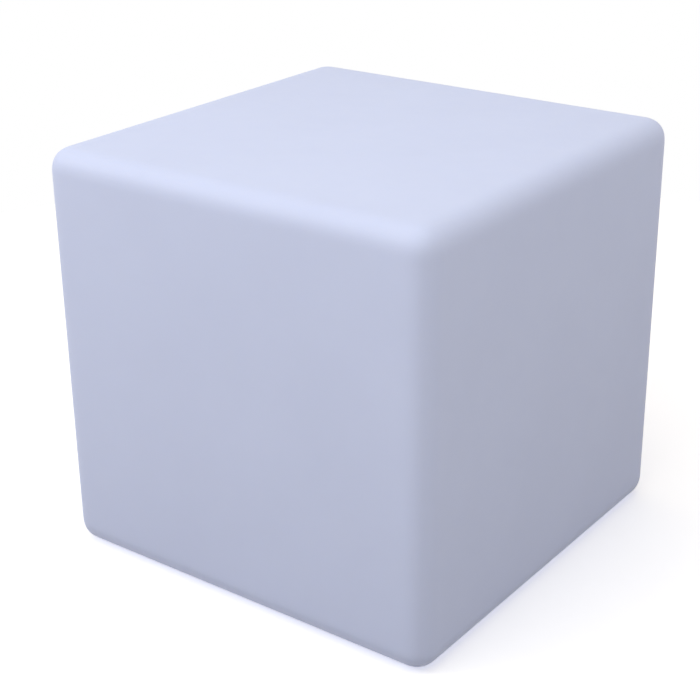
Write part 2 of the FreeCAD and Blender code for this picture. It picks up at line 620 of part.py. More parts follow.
def make_dome():
    def cap_arc(base, base_level, top_level):
        """Middle point of the circular arc from the axis down to the base."""
        rise = top_level - base_level
        radius = (base * base + rise * rise) / (2 * rise)
        half = math.asin(base / radius) / 2
        return (radius * math.sin(half), top_level - radius + radius * math.cos(half))

    top = DOME_FLANGE_TOP + DOME_RISE
    inner_base = DOME_RADIUS - DOME_WALL
    lens = turned(
        [
            (0, top - DOME_WALL),
            ("arc", cap_arc(inner_base, RIM_TOP, top - DOME_WALL), (inner_base, RIM_TOP)),
            (RIM_RADIUS, RIM_TOP),
            (RIM_RADIUS, DOME_FLANGE_TOP),
            (DOME_RADIUS, DOME_FLANGE_TOP),
            ("arc", cap_arc(DOME_RADIUS, DOME_FLANGE_TOP, top), (0, top)),
        ]
    )
    holes = [
        disc(SMALL_SCREW_RADIUS + HOLE_CLEARANCE, RIM_TOP - 1, DOME_FLANGE_TOP + 1, x, y)
        for x, y in DOME_SCREWS
    ]
    return lens.cut(holes)


def make_dome_seal():
    inner, outer = SEAL_RADIUS - SEAL_WIDTH / 2, SEAL_RADIUS + SEAL_WIDTH / 2
    seal = ring(inner, outer, RIM_TOP - SEAL_HEIGHT, RIM_TOP)
    return seal.makeFillet(SEAL_HEIGHT * 0.3, [e for e in seal.Edges if isinstance(e.Curve, Part.Circle)])


# ---------------------------------------------------------------- LED board
def make_led_board():
    board = disc(LED_BOARD_RADIUS, LED_BOARD_LOW, LED_BOARD_TOP)
    holes = [
        disc(SMALL_SCREW_RADIUS + HOLE_CLEARANCE, LED_BOARD_LOW - 1, LED_BOARD_TOP + 1, x, y)
        for x, y in LED_POSTS
    ]
    return board.cut(holes)


def make_leds():
    leds = []
    for i, count in enumerate(LED_COUNTS):
        radius = LED_BOARD_RADIUS - LED_RING_MARGIN - i * LED_RING_PITCH
        for x, y in on_circle(radius, count, 180 / count):
            led = block(x, y, LED_BOARD_TOP, LED_SIDE, LED_SIDE, LED_HEIGHT)
            high = LED_BOARD_TOP + LED_HEIGHT
            led = led.cut(disc(LED_LENS_RADIUS, high - LED_LENS_DEPTH, high + 1, x, y))
            led.rotate(Vector(x, y, 0), Vector(0, 0, 1), math.degrees(math.atan2(y, x)))
            leds.append(led)
    return leds


def make_receiver():
    """The remote control's receiver: a small block with a round lens, on three legs."""
    leg_height = 1.5
    low = LED_BOARD_TOP + leg_height
    body = block(0, 0, low, RECEIVER_WIDTH, RECEIVER_DEPTH, RECEIVER_HEIGHT)
    lens = disc(RECEIVER_LENS_RADIUS, low, low + RECEIVER_HEIGHT, 0, -RECEIVER_DEPTH / 2)
    legs = [block(x, 0, LED_BOARD_TOP, PIN_SIDE, PIN_SIDE, leg_height + 0.5) for x in (-1.9, 0, 1.9)]
    return fuse([body, lens] + legs)


# ---------------------------------------------------------------- battery
def cell_rows():
    return [PACK_Y - CELL_PITCH / 2, PACK_Y + CELL_PITCH / 2]


def make_cells():
    along = Vector(1, 0, 0)
    cells = []
    for y in cell_rows():
        can = Part.makeCylinder(CELL_RADIUS, CELL_LENGTH, Vector(CELL_LOW_X, y, PACK_AXIS), along)
        can = can.makeFillet(0.8, [e for e in can.Edges if isinstance(e.Curve, Part.Circle)])
        nub_start = Vector(CELL_LOW_X + CELL_LENGTH - 1, y, PACK_AXIS)
        nub = Part.makeCylinder(CELL_NUB_RADIUS, CELL_NUB_HEIGHT + 1, nub_start, along)
        cells.append(fuse([can, nub]))
    return cells


def make_tabs():
    low_ends = (CELL_LOW_X - TAB_THICKNESS, CELL_LOW_X + CELL_LENGTH + CELL_NUB_HEIGHT)
    size = (TAB_THICKNESS, CELL_PITCH + TAB_WIDTH, TAB_WIDTH)
    return [
        Part.makeBox(*size, Vector(x, PACK_Y - size[1] / 2, PACK_AXIS - TAB_WIDTH / 2)) for x in low_ends
    ]


def make_papers():
    half = PACK_LENGTH / 2
    return [
        stadium(CELL_RADIUS, -half, -half + PAPER_THICKNESS),
        stadium(CELL_RADIUS, half - PAPER_THICKNESS, half),
    ]


def make_wrap():
    half = PACK_LENGTH / 2
    return stadium(WRAP_RADIUS, -half, half).cut(stadium(CELL_RADIUS, -half - 1, half + 1))


def make_pad():
    width = PACK_LENGTH - 2 * PAD_MARGIN
    return block(0, PACK_Y, FLOOR_TOP, width, CELL_PITCH, PAD_THICKNESS)


def make_clamp():
    """A bridge over the battery, with a foot on a boss at each side."""
    t, half = CLAMP_THICKNESS, PACK_HALF_WIDTH
    foot_low = FLOOR_TOP + CLAMP_BOSS_HEIGHT
    pieces = [block(0, PACK_Y, PACK_TOP, CLAMP_WIDTH, 2 * (half + t), t)]
    for side, (x, y) in zip((-1, 1), CLAMP_POSTS):
        leg_y = PACK_Y + side * (half + t / 2)
        pieces.append(block(0, leg_y, foot_low, CLAMP_WIDTH, t, PACK_TOP + t - foot_low))
        foot_y = PACK_Y + side * (half + (CLAMP_FOOT + t) / 2)
        pieces.append(block(0, foot_y, foot_low, CLAMP_WIDTH, CLAMP_FOOT + t, t))
    holes = [
        disc(SMALL_SCREW_RADIUS + HOLE_CLEARANCE, foot_low - 1, foot_low + t + 1, x, y)
        for x, y in CLAMP_POSTS
    ]
    return fuse(pieces).cut(holes)


# ---------------------------------------------------------------- control board
SOCKET_BACK_Y = CONTROL_BACK - SOCKET_DEPTH
SOCKET_FRONT_Y = CONTROL_BACK - CONTROL_DEPTH + SOCKET_DEPTH + 2.0
BATTERY_SOCKET = (CONTROL_WIDTH / 2 - BATTERY_SOCKET_INSET, SOCKET_BACK_Y)
BUTTON_SOCKET = (FRONT_SOCKET_INSET - CONTROL_WIDTH / 2, SOCKET_FRONT_Y)
CHARGE_SOCKET = (CONTROL_WIDTH / 2 - FRONT_SOCKET_INSET, SOCKET_FRONT_Y)
LED_SOCKET = (LED_SOCKET_X, SOCKET_BACK_Y)
LED_BOARD_SOCKET = (LED_SOCKET[0], LED_SOCKET[1] - LED_LEAD_OFFSET)


def make_control_board():
    board = block(0, CONTROL_Y, CONTROL_LOW, CONTROL_WIDTH, CONTROL_DEPTH, BOARD_THICKNESS)
    holes = [
        disc(SMALL_SCREW_RADIUS + HOLE_CLEARANCE, CONTROL_LOW - 1, CONTROL_TOP + 1, x, y)
        for x, y in CONTROL_POSTS
    ]
    return board.cut(holes)


def on_board(x, y, width, depth, height):
    """A block on the control board, placed from the board's middle."""
    return block(x, CONTROL_Y + y, CONTROL_TOP, width, depth, height)


def make_chips():
    """The controller, the charging chip and a row of switching transistors."""
    chips = [on_board(-10.0, CHIP_ROW, *CONTROLLER_SIZE), on_board(10.0, CHIP_ROW, *CHARGER_SIZE)]
    return chips + [on_board(x, TRANSISTOR_ROW, *TRANSISTOR_SIZE) for x in (-29.0, -20.0, 7.0)]


def make_inductor():
    x, y = INDUCTOR_X, CONTROL_Y + TRANSISTOR_ROW
    low, high = CONTROL_TOP, CONTROL_TOP + INDUCTOR_HEIGHT
    waist = ring(INDUCTOR_RADIUS * 0.75, INDUCTOR_RADIUS + 1, low + 1.2, high - 1.2, x, y)
    return disc(INDUCTOR_RADIUS, low, high, x, y).cut(waist)


def make_capacitors():
    end_x = CAPACITOR_END_GAP + CAPACITOR_RADIUS - CONTROL_WIDTH / 2
    places = [(0.5, CONTROL_Y + CHIP_ROW), (end_x, CONTROL_Y)]
    return [disc(CAPACITOR_RADIUS, CONTROL_TOP, CONTROL_TOP + CAPACITOR_HEIGHT, x, y) for x, y in places]


def make_sockets():
    places = [(x, y, CONTROL_TOP) for x, y in (BATTERY_SOCKET, BUTTON_SOCKET, CHARGE_SOCKET, LED_SOCKET)]
    places.append((*LED_BOARD_SOCKET, LED_BOARD_LOW - SOCKET_HEIGHT))
    return [block(*place, SOCKET_WIDTH, SOCKET_DEPTH, SOCKET_HEIGHT) for place in places]


# ---------------------------------------------------------------- wires
def spread(count):
    return [(i - (count - 1) / 2) * WIRE_SPACING for i in range(count)]


def make_battery_leads():
    """Two wires from the end of the battery, up and over to their socket."""
    x, y = BATTERY_SOCKET
    end, from_y = PACK_LENGTH / 2, PACK_Y - CELL_PITCH / 2
    leads = []
    for s in spread(2):
        leads.append(
            tube(
                [
                    (end, from_y + s, PACK_AXIS),
                    (end + 4.0 + s, from_y + s, PACK_AXIS),
                    (end + 6.4 + s, from_y - 2.1 + s, PACK_AXIS + 0.7),
                    (end + 7.5 + s, from_y - 6.5 + s, PACK_AXIS + 3.2),
                    (end + 6.5 + s, from_y - 12.5 + s / 2, PACK_AXIS + 7.5),
                    (x + 7.3 + s, y + 6.5, SOCKET_TOP + 7.5),
                    (x + 2.0 + s, y + 1.8, SOCKET_TOP + 6.7),
                    (x + s, y, SOCKET_TOP + 3.5),
                    (x + s, y, SOCKET_TOP),
                ],
                WIRE_RADIUS,
            )
        )
    return leads


def make_panel_leads(socket, x, low):
    """Two wires from a panel fitting's blades to its socket on the control board."""
    leads = []
    for side, s in zip((-1, 1), spread(2)):
        start = (x + side * TERMINAL_SPACING / 2, SERVICE_Y, low)
        leads.append(tube(arch(start, (socket[0] + s, socket[1], SOCKET_TOP), WIRE_RISE), WIRE_RADIUS))
    return leads


def make_led_leads():
    """Four wires that climb from the control board to the socket under the LED board."""
    x, y = LED_SOCKET
    to_x, to_y = LED_BOARD_SOCKET
    end = LED_BOARD_LOW - SOCKET_HEIGHT
    straight = (end - SOCKET_TOP) * 0.3
    return [
        tube(
            [
                (x + s, y, SOCKET_TOP),
                (x + s, y, SOCKET_TOP + straight),
                (to_x + s, to_y, end - straight),
                (to_x + s, to_y, end),
            ],
            WIRE_RADIUS * 0.8,
        )
        for s in spread(4)
    ]


# ---------------------------------------------------------------- push button
def make_button_body():
    x, y = BUTTON_X, SERVICE_Y
    bezel = disc(BUTTON_BEZEL_RADIUS, BUTTON_BEZEL_LOW, PANEL, x, y)
    low_edge = [e for e in bezel.Edges if abs(e.CenterOfMass.z - BUTTON_BEZEL_LOW) < 1e-6]
    bezel = bezel.makeFillet(BUTTON_BEZEL_THICKNESS * 0.5, low_edge)
    neck = disc(BUTTON_NECK_RADIUS, PANEL - 0.5, BUTTON_NECK_TOP, x, y)
    guide = disc(BUTTON_CAP_RADIUS + BUTTON_CAP_CLEARANCE, BUTTON_BEZEL_LOW - 1, BUTTON_NECK_TOP, x, y)
    chamber = disc(BUTTON_CHAMBER_RADIUS, BUTTON_SHOULDER, BUTTON_NECK_TOP + 1, x, y)
    return fuse([bezel, neck]).cut([guide, chamber])


def make_button_cap():
    x, y = BUTTON_X, SERVICE_Y
    collar_top = BUTTON_SHOULDER + BUTTON_COLLAR_THICKNESS
    face = disc(BUTTON_CAP_RADIUS, BUTTON_CAP_LOW, collar_top, x, y)
    low_edge = [e for e in face.Edges if abs(e.CenterOfMass.z - BUTTON_CAP_LOW) < 1e-6]
    face = face.makeFillet(0.8, low_edge)
    collar = disc(BUTTON_CAP_RADIUS + BUTTON_COLLAR_WIDTH, BUTTON_SHOULDER, collar_top, x, y)
    stem_top = BUTTON_NECK_TOP - BUTTON_TRAVEL - 0.3
    stem = disc(SPRING_RADIUS - SPRING_WIRE - 0.6, collar_top - 0.5, stem_top, x, y)
    return fuse([face, collar, stem]).cut(power_symbol(x, y))


def power_symbol(x, y):
    """The sunk symbol on the button: an open ring with a stroke in its gap."""
    radius, line = BUTTON_SYMBOL_RADIUS, BUTTON_SYMBOL_LINE
    low, high = BUTTON_CAP_LOW - 1, BUTTON_CAP_LOW + BUTTON_SYMBOL_DEPTH
    gap = block(x, y + radius, low - 1, radius * 0.8, 2 * radius, 4)
    stroke = block(x, y + radius * 0.75, low, line, radius, high - low)
    return [ring(radius - line, radius, low, high, x, y).cut(gap), stroke]


def make_button_spring():
    """A compression spring between the cap's collar and the rear cover, in one unbroken tube."""
    low = BUTTON_SHOULDER + BUTTON_COLLAR_THICKNESS + SPRING_WIRE / 2
    height = BUTTON_NECK_TOP - SPRING_WIRE / 2 - low
    radius = SPRING_RADIUS - SPRING_WIRE / 2
    climb = height / (2 * math.pi * SPRING_TURNS)  # per radian
    points, ways = [], []
    for quarter in range(4 * SPRING_TURNS + 1):
        angle = math.pi / 2 * quarter
        x, y = math.cos(angle), math.sin(angle)
        points.append(Vector(BUTTON_X + radius * x, SERVICE_Y + radius * y, low + climb * angle))
        ways.append(Vector(-radius * y, radius * x, climb).normalize())
    arcs = []
    for a, way_a, b, way_b in zip(points, ways, points[1:], ways[1:]):
        arcs += biarc(a, way_a, b, way_b)
    section = Part.Wire(Part.makeCircle(SPRING_WIRE / 2, points[0], ways[0]))
    return Part.Wire(arcs).makePipeShell([section], True, False)


def make_switch_base():
    x, y = BUTTON_X, SERVICE_Y
    return disc(BUTTON_NECK_RADIUS, BUTTON_NECK_TOP, BUTTON_NECK_TOP + SWITCH_BASE_THICKNESS, x, y)


def panel_nut(x, neck_radius):
    nut = hexagon(NUT_WIDTH, FLOOR_TOP, FLOOR_TOP + NUT_THICKNESS, x, SERVICE_Y)
    return nut.cut(disc(neck_radius + FIT, FLOOR_TOP - 1, FLOOR_TOP + NUT_THICKNESS + 1, x, SERVICE_Y))


# ---------------------------------------------------------------- charging socket and its cap
def make_charge_socket():
    x, y = SOCKET_X, SERVICE_Y
    bezel = disc(SOCKET_BEZEL_RADIUS, SOCKET_BEZEL_LOW, STRAP_LOW, x, y)
    neck = disc(SOCKET_NECK_RADIUS, STRAP_LOW - 0.5, SOCKET_NECK_TOP, x, y)
    well = disc(SOCKET_WELL_RADIUS, SOCKET_BEZEL_LOW - 1, SOCKET_WELL_TOP, x, y)
    bore = disc(SOCKET_BORE_RADIUS, SOCKET_WELL_TOP - 1, SOCKET_BORE_TOP, x, y)
    return fuse([bezel, neck]).cut([well, bore])


def make_socket_pin():
    x, y = SOCKET_X, SERVICE_Y
    low = SOCKET_WELL_TOP + SOCKET_PIN_SUNK
    pin = disc(SOCKET_PIN_RADIUS, low, SOCKET_BORE_TOP, x, y)
    tip = [e for e in pin.Edges if abs(e.CenterOfMass.z - low) < 1e-6]
    return pin.makeFillet(SOCKET_PIN_RADIUS * 0.6, tip)


def make_cap():
    """The rubber cap: a disc under the socket's bezel, a tapered nub in its well and a finger tab."""
    x, y = SOCKET_X, SERVICE_Y
    face = disc(SOCKET_BEZEL_RADIUS, CAP_LOW, SOCKET_BEZEL_LOW, x, y)
    nub = Part.makeCone(CAP_NUB_RADIUS, CAP_NUB_RADIUS - CAP_NUB_TAPER, CAP_NUB_HEIGHT + 0.5)
    nub.translate(Vector(x, y, SOCKET_BEZEL_LOW - 0.5))
    tab = block(x + CAP_TAB_REACH / 2, y, CAP_LOW, CAP_TAB_REACH, CAP_TAB_WIDTH, CAP_THICKNESS)
    ends = [e for e in tab.Edges if abs(e.CenterOfMass.x - x - CAP_TAB_REACH) < 1e-6]
    upright = [e for e in ends if abs(e.tangentAt(e.FirstParameter).z) > 0.9]
    tab = tab.makeFillet(CAP_TAB_WIDTH * 0.45, upright)
    lug = block(x - CAP_LUG_REACH / 2, y, CAP_LOW, CAP_LUG_REACH, STRAP_WIDTH, CAP_THICKNESS)
    return fuse([face, nub, tab, lug])


def make_strap():
    """The cap's strap: a ring under the bezel, and a tongue that folds back to the cap's lug."""
    x, y = SOCKET_X, SERVICE_Y
    front = y - STRAP_WIDTH / 2
    lug_end, ring_end = x - CAP_LUG_REACH, x - SOCKET_NECK_RADIUS - 1.0
    fold_radius = STRAP_UPPER_AXIS - FOLD_Z

    def bend(radius):
        """Top, side and bottom of the fold, at that distance from its axis."""
        top, low = Vector(FOLD_X, front, FOLD_Z + radius), Vector(FOLD_X, front, FOLD_Z - radius)
        return top, Vector(FOLD_X - radius, front, FOLD_Z), low

    top_out, side_out, low_out = bend(fold_radius + STRAP_THICKNESS / 2)
    top_in, side_in, low_in = bend(fold_radius - STRAP_THICKNESS / 2)
    lug_low, lug_high = Vector(lug_end, front, low_out.z), Vector(lug_end, front, low_in.z)
    ring_low, ring_high = Vector(ring_end, front, top_in.z), Vector(ring_end, front, top_out.z)
    edges = [
        Part.LineSegment(ring_high, top_out).toShape(),
        Part.Arc(top_out, side_out, low_out).toShape(),
        Part.LineSegment(low_out, lug_low).toShape(),
        Part.LineSegment(lug_low, lug_high).toShape(),
        Part.LineSegment(lug_high, low_in).toShape(),
        Part.Arc(low_in, side_in, top_in).toShape(),
        Part.LineSegment(top_in, ring_low).toShape(),
        Part.LineSegment(ring_low, ring_high).toShape(),
    ]
    tongue = Part.Face(Part.Wire(edges)).extrude(Vector(0, STRAP_WIDTH, 0))
    collar = ring(SOCKET_NECK_RADIUS + FIT, STRAP_RING_RADIUS, STRAP_LOW, PANEL, x, y)
    hole = disc(SOCKET_NECK_RADIUS + FIT, STRAP_LOW - 1, PANEL + 1, x, y)
    return fuse([collar, tongue]).cut(hole)


# ---------------------------------------------------------------- charge indicator
def make_light_pipe():
    top = CONTROL_LOW - INDICATOR_HEIGHT - INDICATOR_GAP
    rod = disc(LIGHT_PIPE_RADIUS, PANEL - LIGHT_PIPE_PROUD, top, 0, INDICATOR_Y)
    low = [e for e in rod.Edges if abs(e.CenterOfMass.z - PANEL + LIGHT_PIPE_PROUD) < 1e-6]
    rod = rod.makeFillet(LIGHT_PIPE_PROUD * 0.8, low)
    collar = disc(LIGHT_PIPE_RADIUS + LIGHT_PIPE_COLLAR, FLOOR_TOP, FLOOR_TOP + 1.0, 0, INDICATOR_Y)
    return fuse([rod, collar])


def make_indicator():
    low = CONTROL_LOW - INDICATOR_HEIGHT
    return block(0, INDICATOR_Y, low, INDICATOR_SIDE, INDICATOR_SIDE, INDICATOR_HEIGHT)


# ---------------------------------------------------------------- screws
def small_screws(places, seat):
    size = (SMALL_SCREW_LENGTH, SMALL_SCREW_RADIUS, SMALL_HEAD_RADIUS, SMALL_HEAD_HEIGHT)
    return [screw(x, y, seat, *size) for x, y in places]


def make_flange_screws():
    seat = SCREW_SEAT - WASHER_THICKNESS
    size = (FLANGE_SCREW_LENGTH, FLANGE_SCREW_RADIUS, FLANGE_HEAD_RADIUS, FLANGE_HEAD_HEIGHT)
    return [screw(x, y, seat, *size, up=True) for x, y in FLANGE_SCREWS]


def make_washers():
    low, high = SCREW_SEAT - WASHER_THICKNESS, SCREW_SEAT
    return [ring(FLANGE_SCREW_RADIUS + FIT, WASHER_RADIUS, low, high, x, y) for x, y in FLANGE_SCREWS]


# ---------------------------------------------------------------- the parts, one STEP each
def build():
    switch_top = BUTTON_NECK_TOP + SWITCH_BASE_THICKNESS
    foot_top = FLOOR_TOP + CLAMP_BOSS_HEIGHT + CLAMP_THICKNESS
    return {
        "cube_shell": make_shell(),
        "threaded_inserts": make_inserts(),
        "flange_gasket": make_gasket(),
        "base_housing": make_housing(),
        "flange_screws": make_flange_screws(),
        "sealing_washers": make_washers(),
        "dome_lens": make_dome(),
        "dome_seal": make_dome_seal(),
        "dome_screws": small_screws(DOME_SCREWS, DOME_FLANGE_TOP),
        "led_board": make_led_board(),
        "leds": make_leds(),
        "remote_receiver": make_receiver(),
        "led_board_screws": small_screws(LED_POSTS, LED_BOARD_TOP),
        "battery_cells": make_cells(),
        "battery_tabs": make_tabs(),
        "battery_end_papers": make_papers(),
        "battery_wrap": make_wrap(),
        "battery_pad": make_pad(),
        "battery_clamp": make_clamp(),
        "clamp_screws": small_screws(CLAMP_POSTS, foot_top),
        "control_board": make_control_board(),
        "control_board_screws": small_screws(CONTROL_POSTS, CONTROL_TOP),
        "control_chips": make_chips(),
        "inductor": make_inductor(),
        "capacitors": make_capacitors(),
        "wire_sockets": make_sockets(),
        "battery_leads": make_battery_leads(),
        "button_leads": make_panel_leads(BUTTON_SOCKET, BUTTON_X, switch_top + TERMINAL_LENGTH),
        "charge_leads": make_panel_leads(CHARGE_SOCKET, SOCKET_X, SOCKET_NECK_TOP + TERMINAL_LENGTH),
        "led_leads": make_led_leads(),
        "button_body": make_button_body(),
        "button_cap": make_button_cap(),
        "button_spring": make_button_spring(),
        "button_rear_cover": make_switch_base(),
        "button_terminals": terminals(BUTTON_X, SERVICE_Y, switch_top),
        "button_nut": panel_nut(BUTTON_X, BUTTON_NECK_RADIUS),
        "charge_socket": make_charge_socket(),
        "charge_socket_pin": make_socket_pin(),
        "charge_socket_terminals": terminals(SOCKET_X, SERVICE_Y, SOCKET_NECK_TOP),
        "charge_socket_nut": panel_nut(SOCKET_X, SOCKET_NECK_RADIUS),
        "socket_cap": make_cap(),
        "socket_cap_strap": make_strap(),
        "indicator_light_pipe": make_light_pipe(),
        "indicator_led": make_indicator(),
    }


os.makedirs("parts", exist_ok=True)
for node, made in build().items():
    shape = Part.makeCompound(made) if isinstance(made, list) else made
    shape.exportStep("parts/" + node + ".step")
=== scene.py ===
import json
import math

import bmesh
import bpy
from mathutils import Matrix, Vector, noise


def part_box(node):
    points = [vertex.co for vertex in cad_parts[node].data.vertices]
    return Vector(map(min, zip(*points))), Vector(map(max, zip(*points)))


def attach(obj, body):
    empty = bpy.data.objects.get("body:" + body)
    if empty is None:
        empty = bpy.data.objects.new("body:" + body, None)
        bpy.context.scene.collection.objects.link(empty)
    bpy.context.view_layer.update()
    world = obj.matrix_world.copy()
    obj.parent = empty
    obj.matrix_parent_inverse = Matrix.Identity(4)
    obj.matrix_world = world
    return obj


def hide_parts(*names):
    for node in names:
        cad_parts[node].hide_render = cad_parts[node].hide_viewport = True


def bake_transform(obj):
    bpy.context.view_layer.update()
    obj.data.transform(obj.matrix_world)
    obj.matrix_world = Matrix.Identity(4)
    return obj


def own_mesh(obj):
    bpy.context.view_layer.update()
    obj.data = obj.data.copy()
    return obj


# A moulded cube light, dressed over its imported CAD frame. Metres, +Z up, the front is -Y.

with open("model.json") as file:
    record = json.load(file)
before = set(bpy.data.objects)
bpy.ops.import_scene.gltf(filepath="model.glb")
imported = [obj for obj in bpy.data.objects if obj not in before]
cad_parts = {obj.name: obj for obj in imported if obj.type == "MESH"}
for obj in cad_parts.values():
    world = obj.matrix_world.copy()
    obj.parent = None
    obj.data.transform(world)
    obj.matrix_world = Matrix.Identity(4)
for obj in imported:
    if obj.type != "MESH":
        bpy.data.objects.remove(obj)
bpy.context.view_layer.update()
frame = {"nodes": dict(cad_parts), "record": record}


def middle_of(node):
    low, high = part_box(node)
    return (low + high) / 2


MM = 0.001
WHITE = (1.0, 1.0, 1.0, 1.0)

# ---------------------------------------------------------------- the moulded cube
SHELL_LOW, SHELL_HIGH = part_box("cube_shell")
HALF_WIDTH = (SHELL_HIGH.x - SHELL_LOW.x) / 2
HEIGHT = SHELL_HIGH.z - SHELL_LOW.z
EDGE_REACH = 24 * MM  # how far the rounding of an edge reaches into a face
EDGE_POWER = 2.6  # 2 is a plain arc; more lets it set in softly and turn tighter in the middle
FLAT_HALF = HALF_WIDTH - EDGE_REACH  # half width of a face's flat
WALL = 3.5 * MM
FLAT_STEPS = 26  # grid cells across the flat of a face
ROUND_STEPS = 9  # grid cells in half of a rounded edge
SUPPORT = 1.5 * MM  # a grid line this far inside each flat keeps its shading flat
SEAM = 0.02 * MM  # points of neighbouring patches that lie this near are one point
SINK = 0.35 * MM  # the middle of each large face is drawn in by this much as the moulding cools
WAVES = 0.10 * MM
WAVE_LENGTH = 90 * MM
WAVE_ORIGIN = Vector((7.3, 1.9, 4.4))
FADE = 3  # how steeply sink and waves set in from a flat's edges
ON_FACE = 1e-6  # a point this near to a large face belongs to it

# ---------------------------------------------------------------- underside, from its rim inwards
RIM_STEP = 3 * MM  # from the rim's square outline to its first loop with round corners
RIM_CORNER = 6 * MM
RELIEF_LEAD = 6 * MM  # from that rim's last flat loop to the slope
RELIEF_LEAD_CORNER = 0.9  # of the slope's own corner radius
RELIEF_START = 156 * MM  # half widths of the sloped border of the underside's lift
RELIEF_END = 149 * MM
RELIEF_CORNER = 30 * MM
RELIEF_DEPTH = 2 * MM
RELIEF_STEPS = 8
CEILING_SHARES = (0.08, 0.3, 0.55, 0.8, 0.97)  # loops between the slope and the recess's mouth
MOUTH_LEAD = 1.5 * MM
MOUTH_RADIUS = 4 * MM
FLANGE_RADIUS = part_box("base_housing")[1].x
RECESS_RADIUS = FLANGE_RADIUS + 1.5 * MM
OPENING_RADIUS = FLANGE_RADIUS - 20.5 * MM
OPENING_BEVEL = 0.5 * MM
LEDGE_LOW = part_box("flange_gasket")[1].z
LEDGE_THICKNESS = 4 * MM
LEDGE_HIGH = LEDGE_LOW + LEDGE_THICKNESS
LEDGE_CORNER = 1 * MM
HOLLOW_FILLET = 3 * MM
HOLLOW_SHARES = (0.3, 0.6, 0.9)  # loops across the floor of the hollow
HOLLOW_SQUARING = 0.78  # how much of their roundness those loops lose on the way out
HOLLOW_SLOPE = 2 * MM  # half the width of the slope in the hollow's floor
INSERT_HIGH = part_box("threaded_inserts")[1]
INSERT_COUNT = 6
INSERT_RADIUS = 3.5 * MM
INSERT_CIRCLE = INSERT_HIGH.y - INSERT_RADIUS
INSERT_BOSS_WALL = 5 * MM
INSERT_CUT_START = 1 * MM  # the holes are cut from this far below the ledge
SLIVER = 0.001 * MM  # shorter edges, left where the bosses meet the skin, are merged
SKIN_SMOOTH = 50  # degrees; sharper turns of the skin are shaded as edges

# ---------------------------------------------------------------- fittings in the underside
BUTTON = middle_of("button_body")
SOCKET = middle_of("charge_socket")
TURNING_PITCH = 0.22 * MM  # between the lathe's rings on the button
PHOSPHOR_SUNK = 0.15 * MM  # windows lie deeper than this under the top of an LED package

# the ink in the symbol that is sunk in the button's cap
INK_LEVELS = (0.03 * MM, 0.6 * MM)  # above the face of the cap, which looks down
INK_REACH = 2.6 * MM
INK_COLOUR = (0.035, 0.037, 0.045, 1.0)

# signs on the lamp unit's panel
PANEL_Z = 13.3 * MM
SIGN_RISE = 0.20 * MM
SIGN_EDGE = 0.08 * MM
SIGN_SPACING = 17 * MM  # from a fitting's middle, towards the middle of the panel
SIGN_RING = 3.0 * MM
SIGN_LINE = 0.75 * MM
SIGN_GAP = 0.55  # radians, half of the ring's gap
STROKE_START = 0.2 * MM  # from the ring's middle
STROKE_PAST = 0.5 * MM  # beyond the ring
BOLT = ((-1.7, 4.2), (-0.3, 1.0), (-2.3, 1.0), (0.9, -4.2), (0.3, -0.6), (2.3, -0.6), (-0.5, 4.2))  # in mm

# the strap of the charging socket's cap
STRAP_THICKNESS = 1.2 * MM
STRAP_HALF_WIDTH = 2.5 * MM
STRAP_RING_INNER = 6.05 * MM
STRAP_LUG = 10.5 * MM  # from the socket's middle to the end of the tongue
STRAP_CORNER = 0.3 * MM
STRAP_RING_STEPS = 72
STRAP_FOLD_STEPS = 14

# the push button's spring
SPRING_WIRE = 0.5 * MM
SPRING_SIDES = 10  # of the wire's section
SPRING_TURNS = 6
SPRING_STEPS = 28  # points in a turn
SPRING_CLOSED = 0.8  # turns at each end that lie against their neighbour
SPRING_CLOSED_PITCH = 1.04  # wires from one of them to the next
SPRING_OPENING = 0.5  # turns over which the coils then open out
SPRING_SEAT = 0.02 * MM  # between the spring and what it stands on

# ---------------------------------------------------------------- surfaces
POLYETHYLENE_COLOUR = (0.651, 0.71, 0.932, 1.0)
NOISE_LOW, NOISE_HIGH = 0.3, 0.7  # a noise texture seldom leaves this span

# ---------------------------------------------------------------- the photograph's camera
CAMERA_AZIMUTH = math.radians(36.72)
CAMERA_ELEVATION = math.radians(23.44)
CAMERA_ROLL = math.radians(-0.63)
CAMERA_DISTANCE = 1.432
CAMERA_LENS = 79.13  # mm, on the sensor below
CAMERA_SENSOR = 36.0
CAMERA_AIM = Vector((0, 0, 0.2))
CAMERA_ASIDE = -0.0161  # of the aim, to the picture's right and up
CAMERA_UP = -0.0230
CAMERA_FAR = 100.0

# ---------------------------------------------------------------- the studio
FLOOR_RADIUS = 1.1
CONTACT_REACH = HALF_WIDTH  # half width of the floor's band that passes light to the cube's lower edges
FLOOR_COLOUR = (0.34, 0.33, 0.33, 1.0)
FLOOR_SEEN = (1.45, 1.45, 1.45, 1.0)
SKY_COLOUR = (0.643, 0.622, 0.607, 1.0)
LAMP_AIM = Vector((0, 0, 0.2))
OVERHEAD_PLACE = (0.1, -0.5, 1.3)
OVERHEAD_SIZE = 2.2
OVERHEAD_POWER = 6.6
OVERHEAD_COLOUR = (0.975, 1.0, 0.965)
FILL_PLACE = (-1.3, -1.4, 1.3)
FILL_SIZE = 0.9
FILL_POWER = 7.78
FILL_COLOUR = (0.94, 0.95, 1.0)


# ================================================================ angles and outlines
def sweep(steps, start=0.0, turn=math.pi / 2):
    """Angles spread evenly over a turn, a quarter of a circle unless told otherwise, ends included."""
    return [start + turn * k / steps for k in range(steps + 1)]


def round_angles(count):
    """Angles spread evenly over a whole circle."""
    return [2 * math.pi * k / count for k in range(count)]


def eased(share):
    """A share from 0 to 1 that sets in and ends softly."""
    return share * share * (3 - 2 * share)


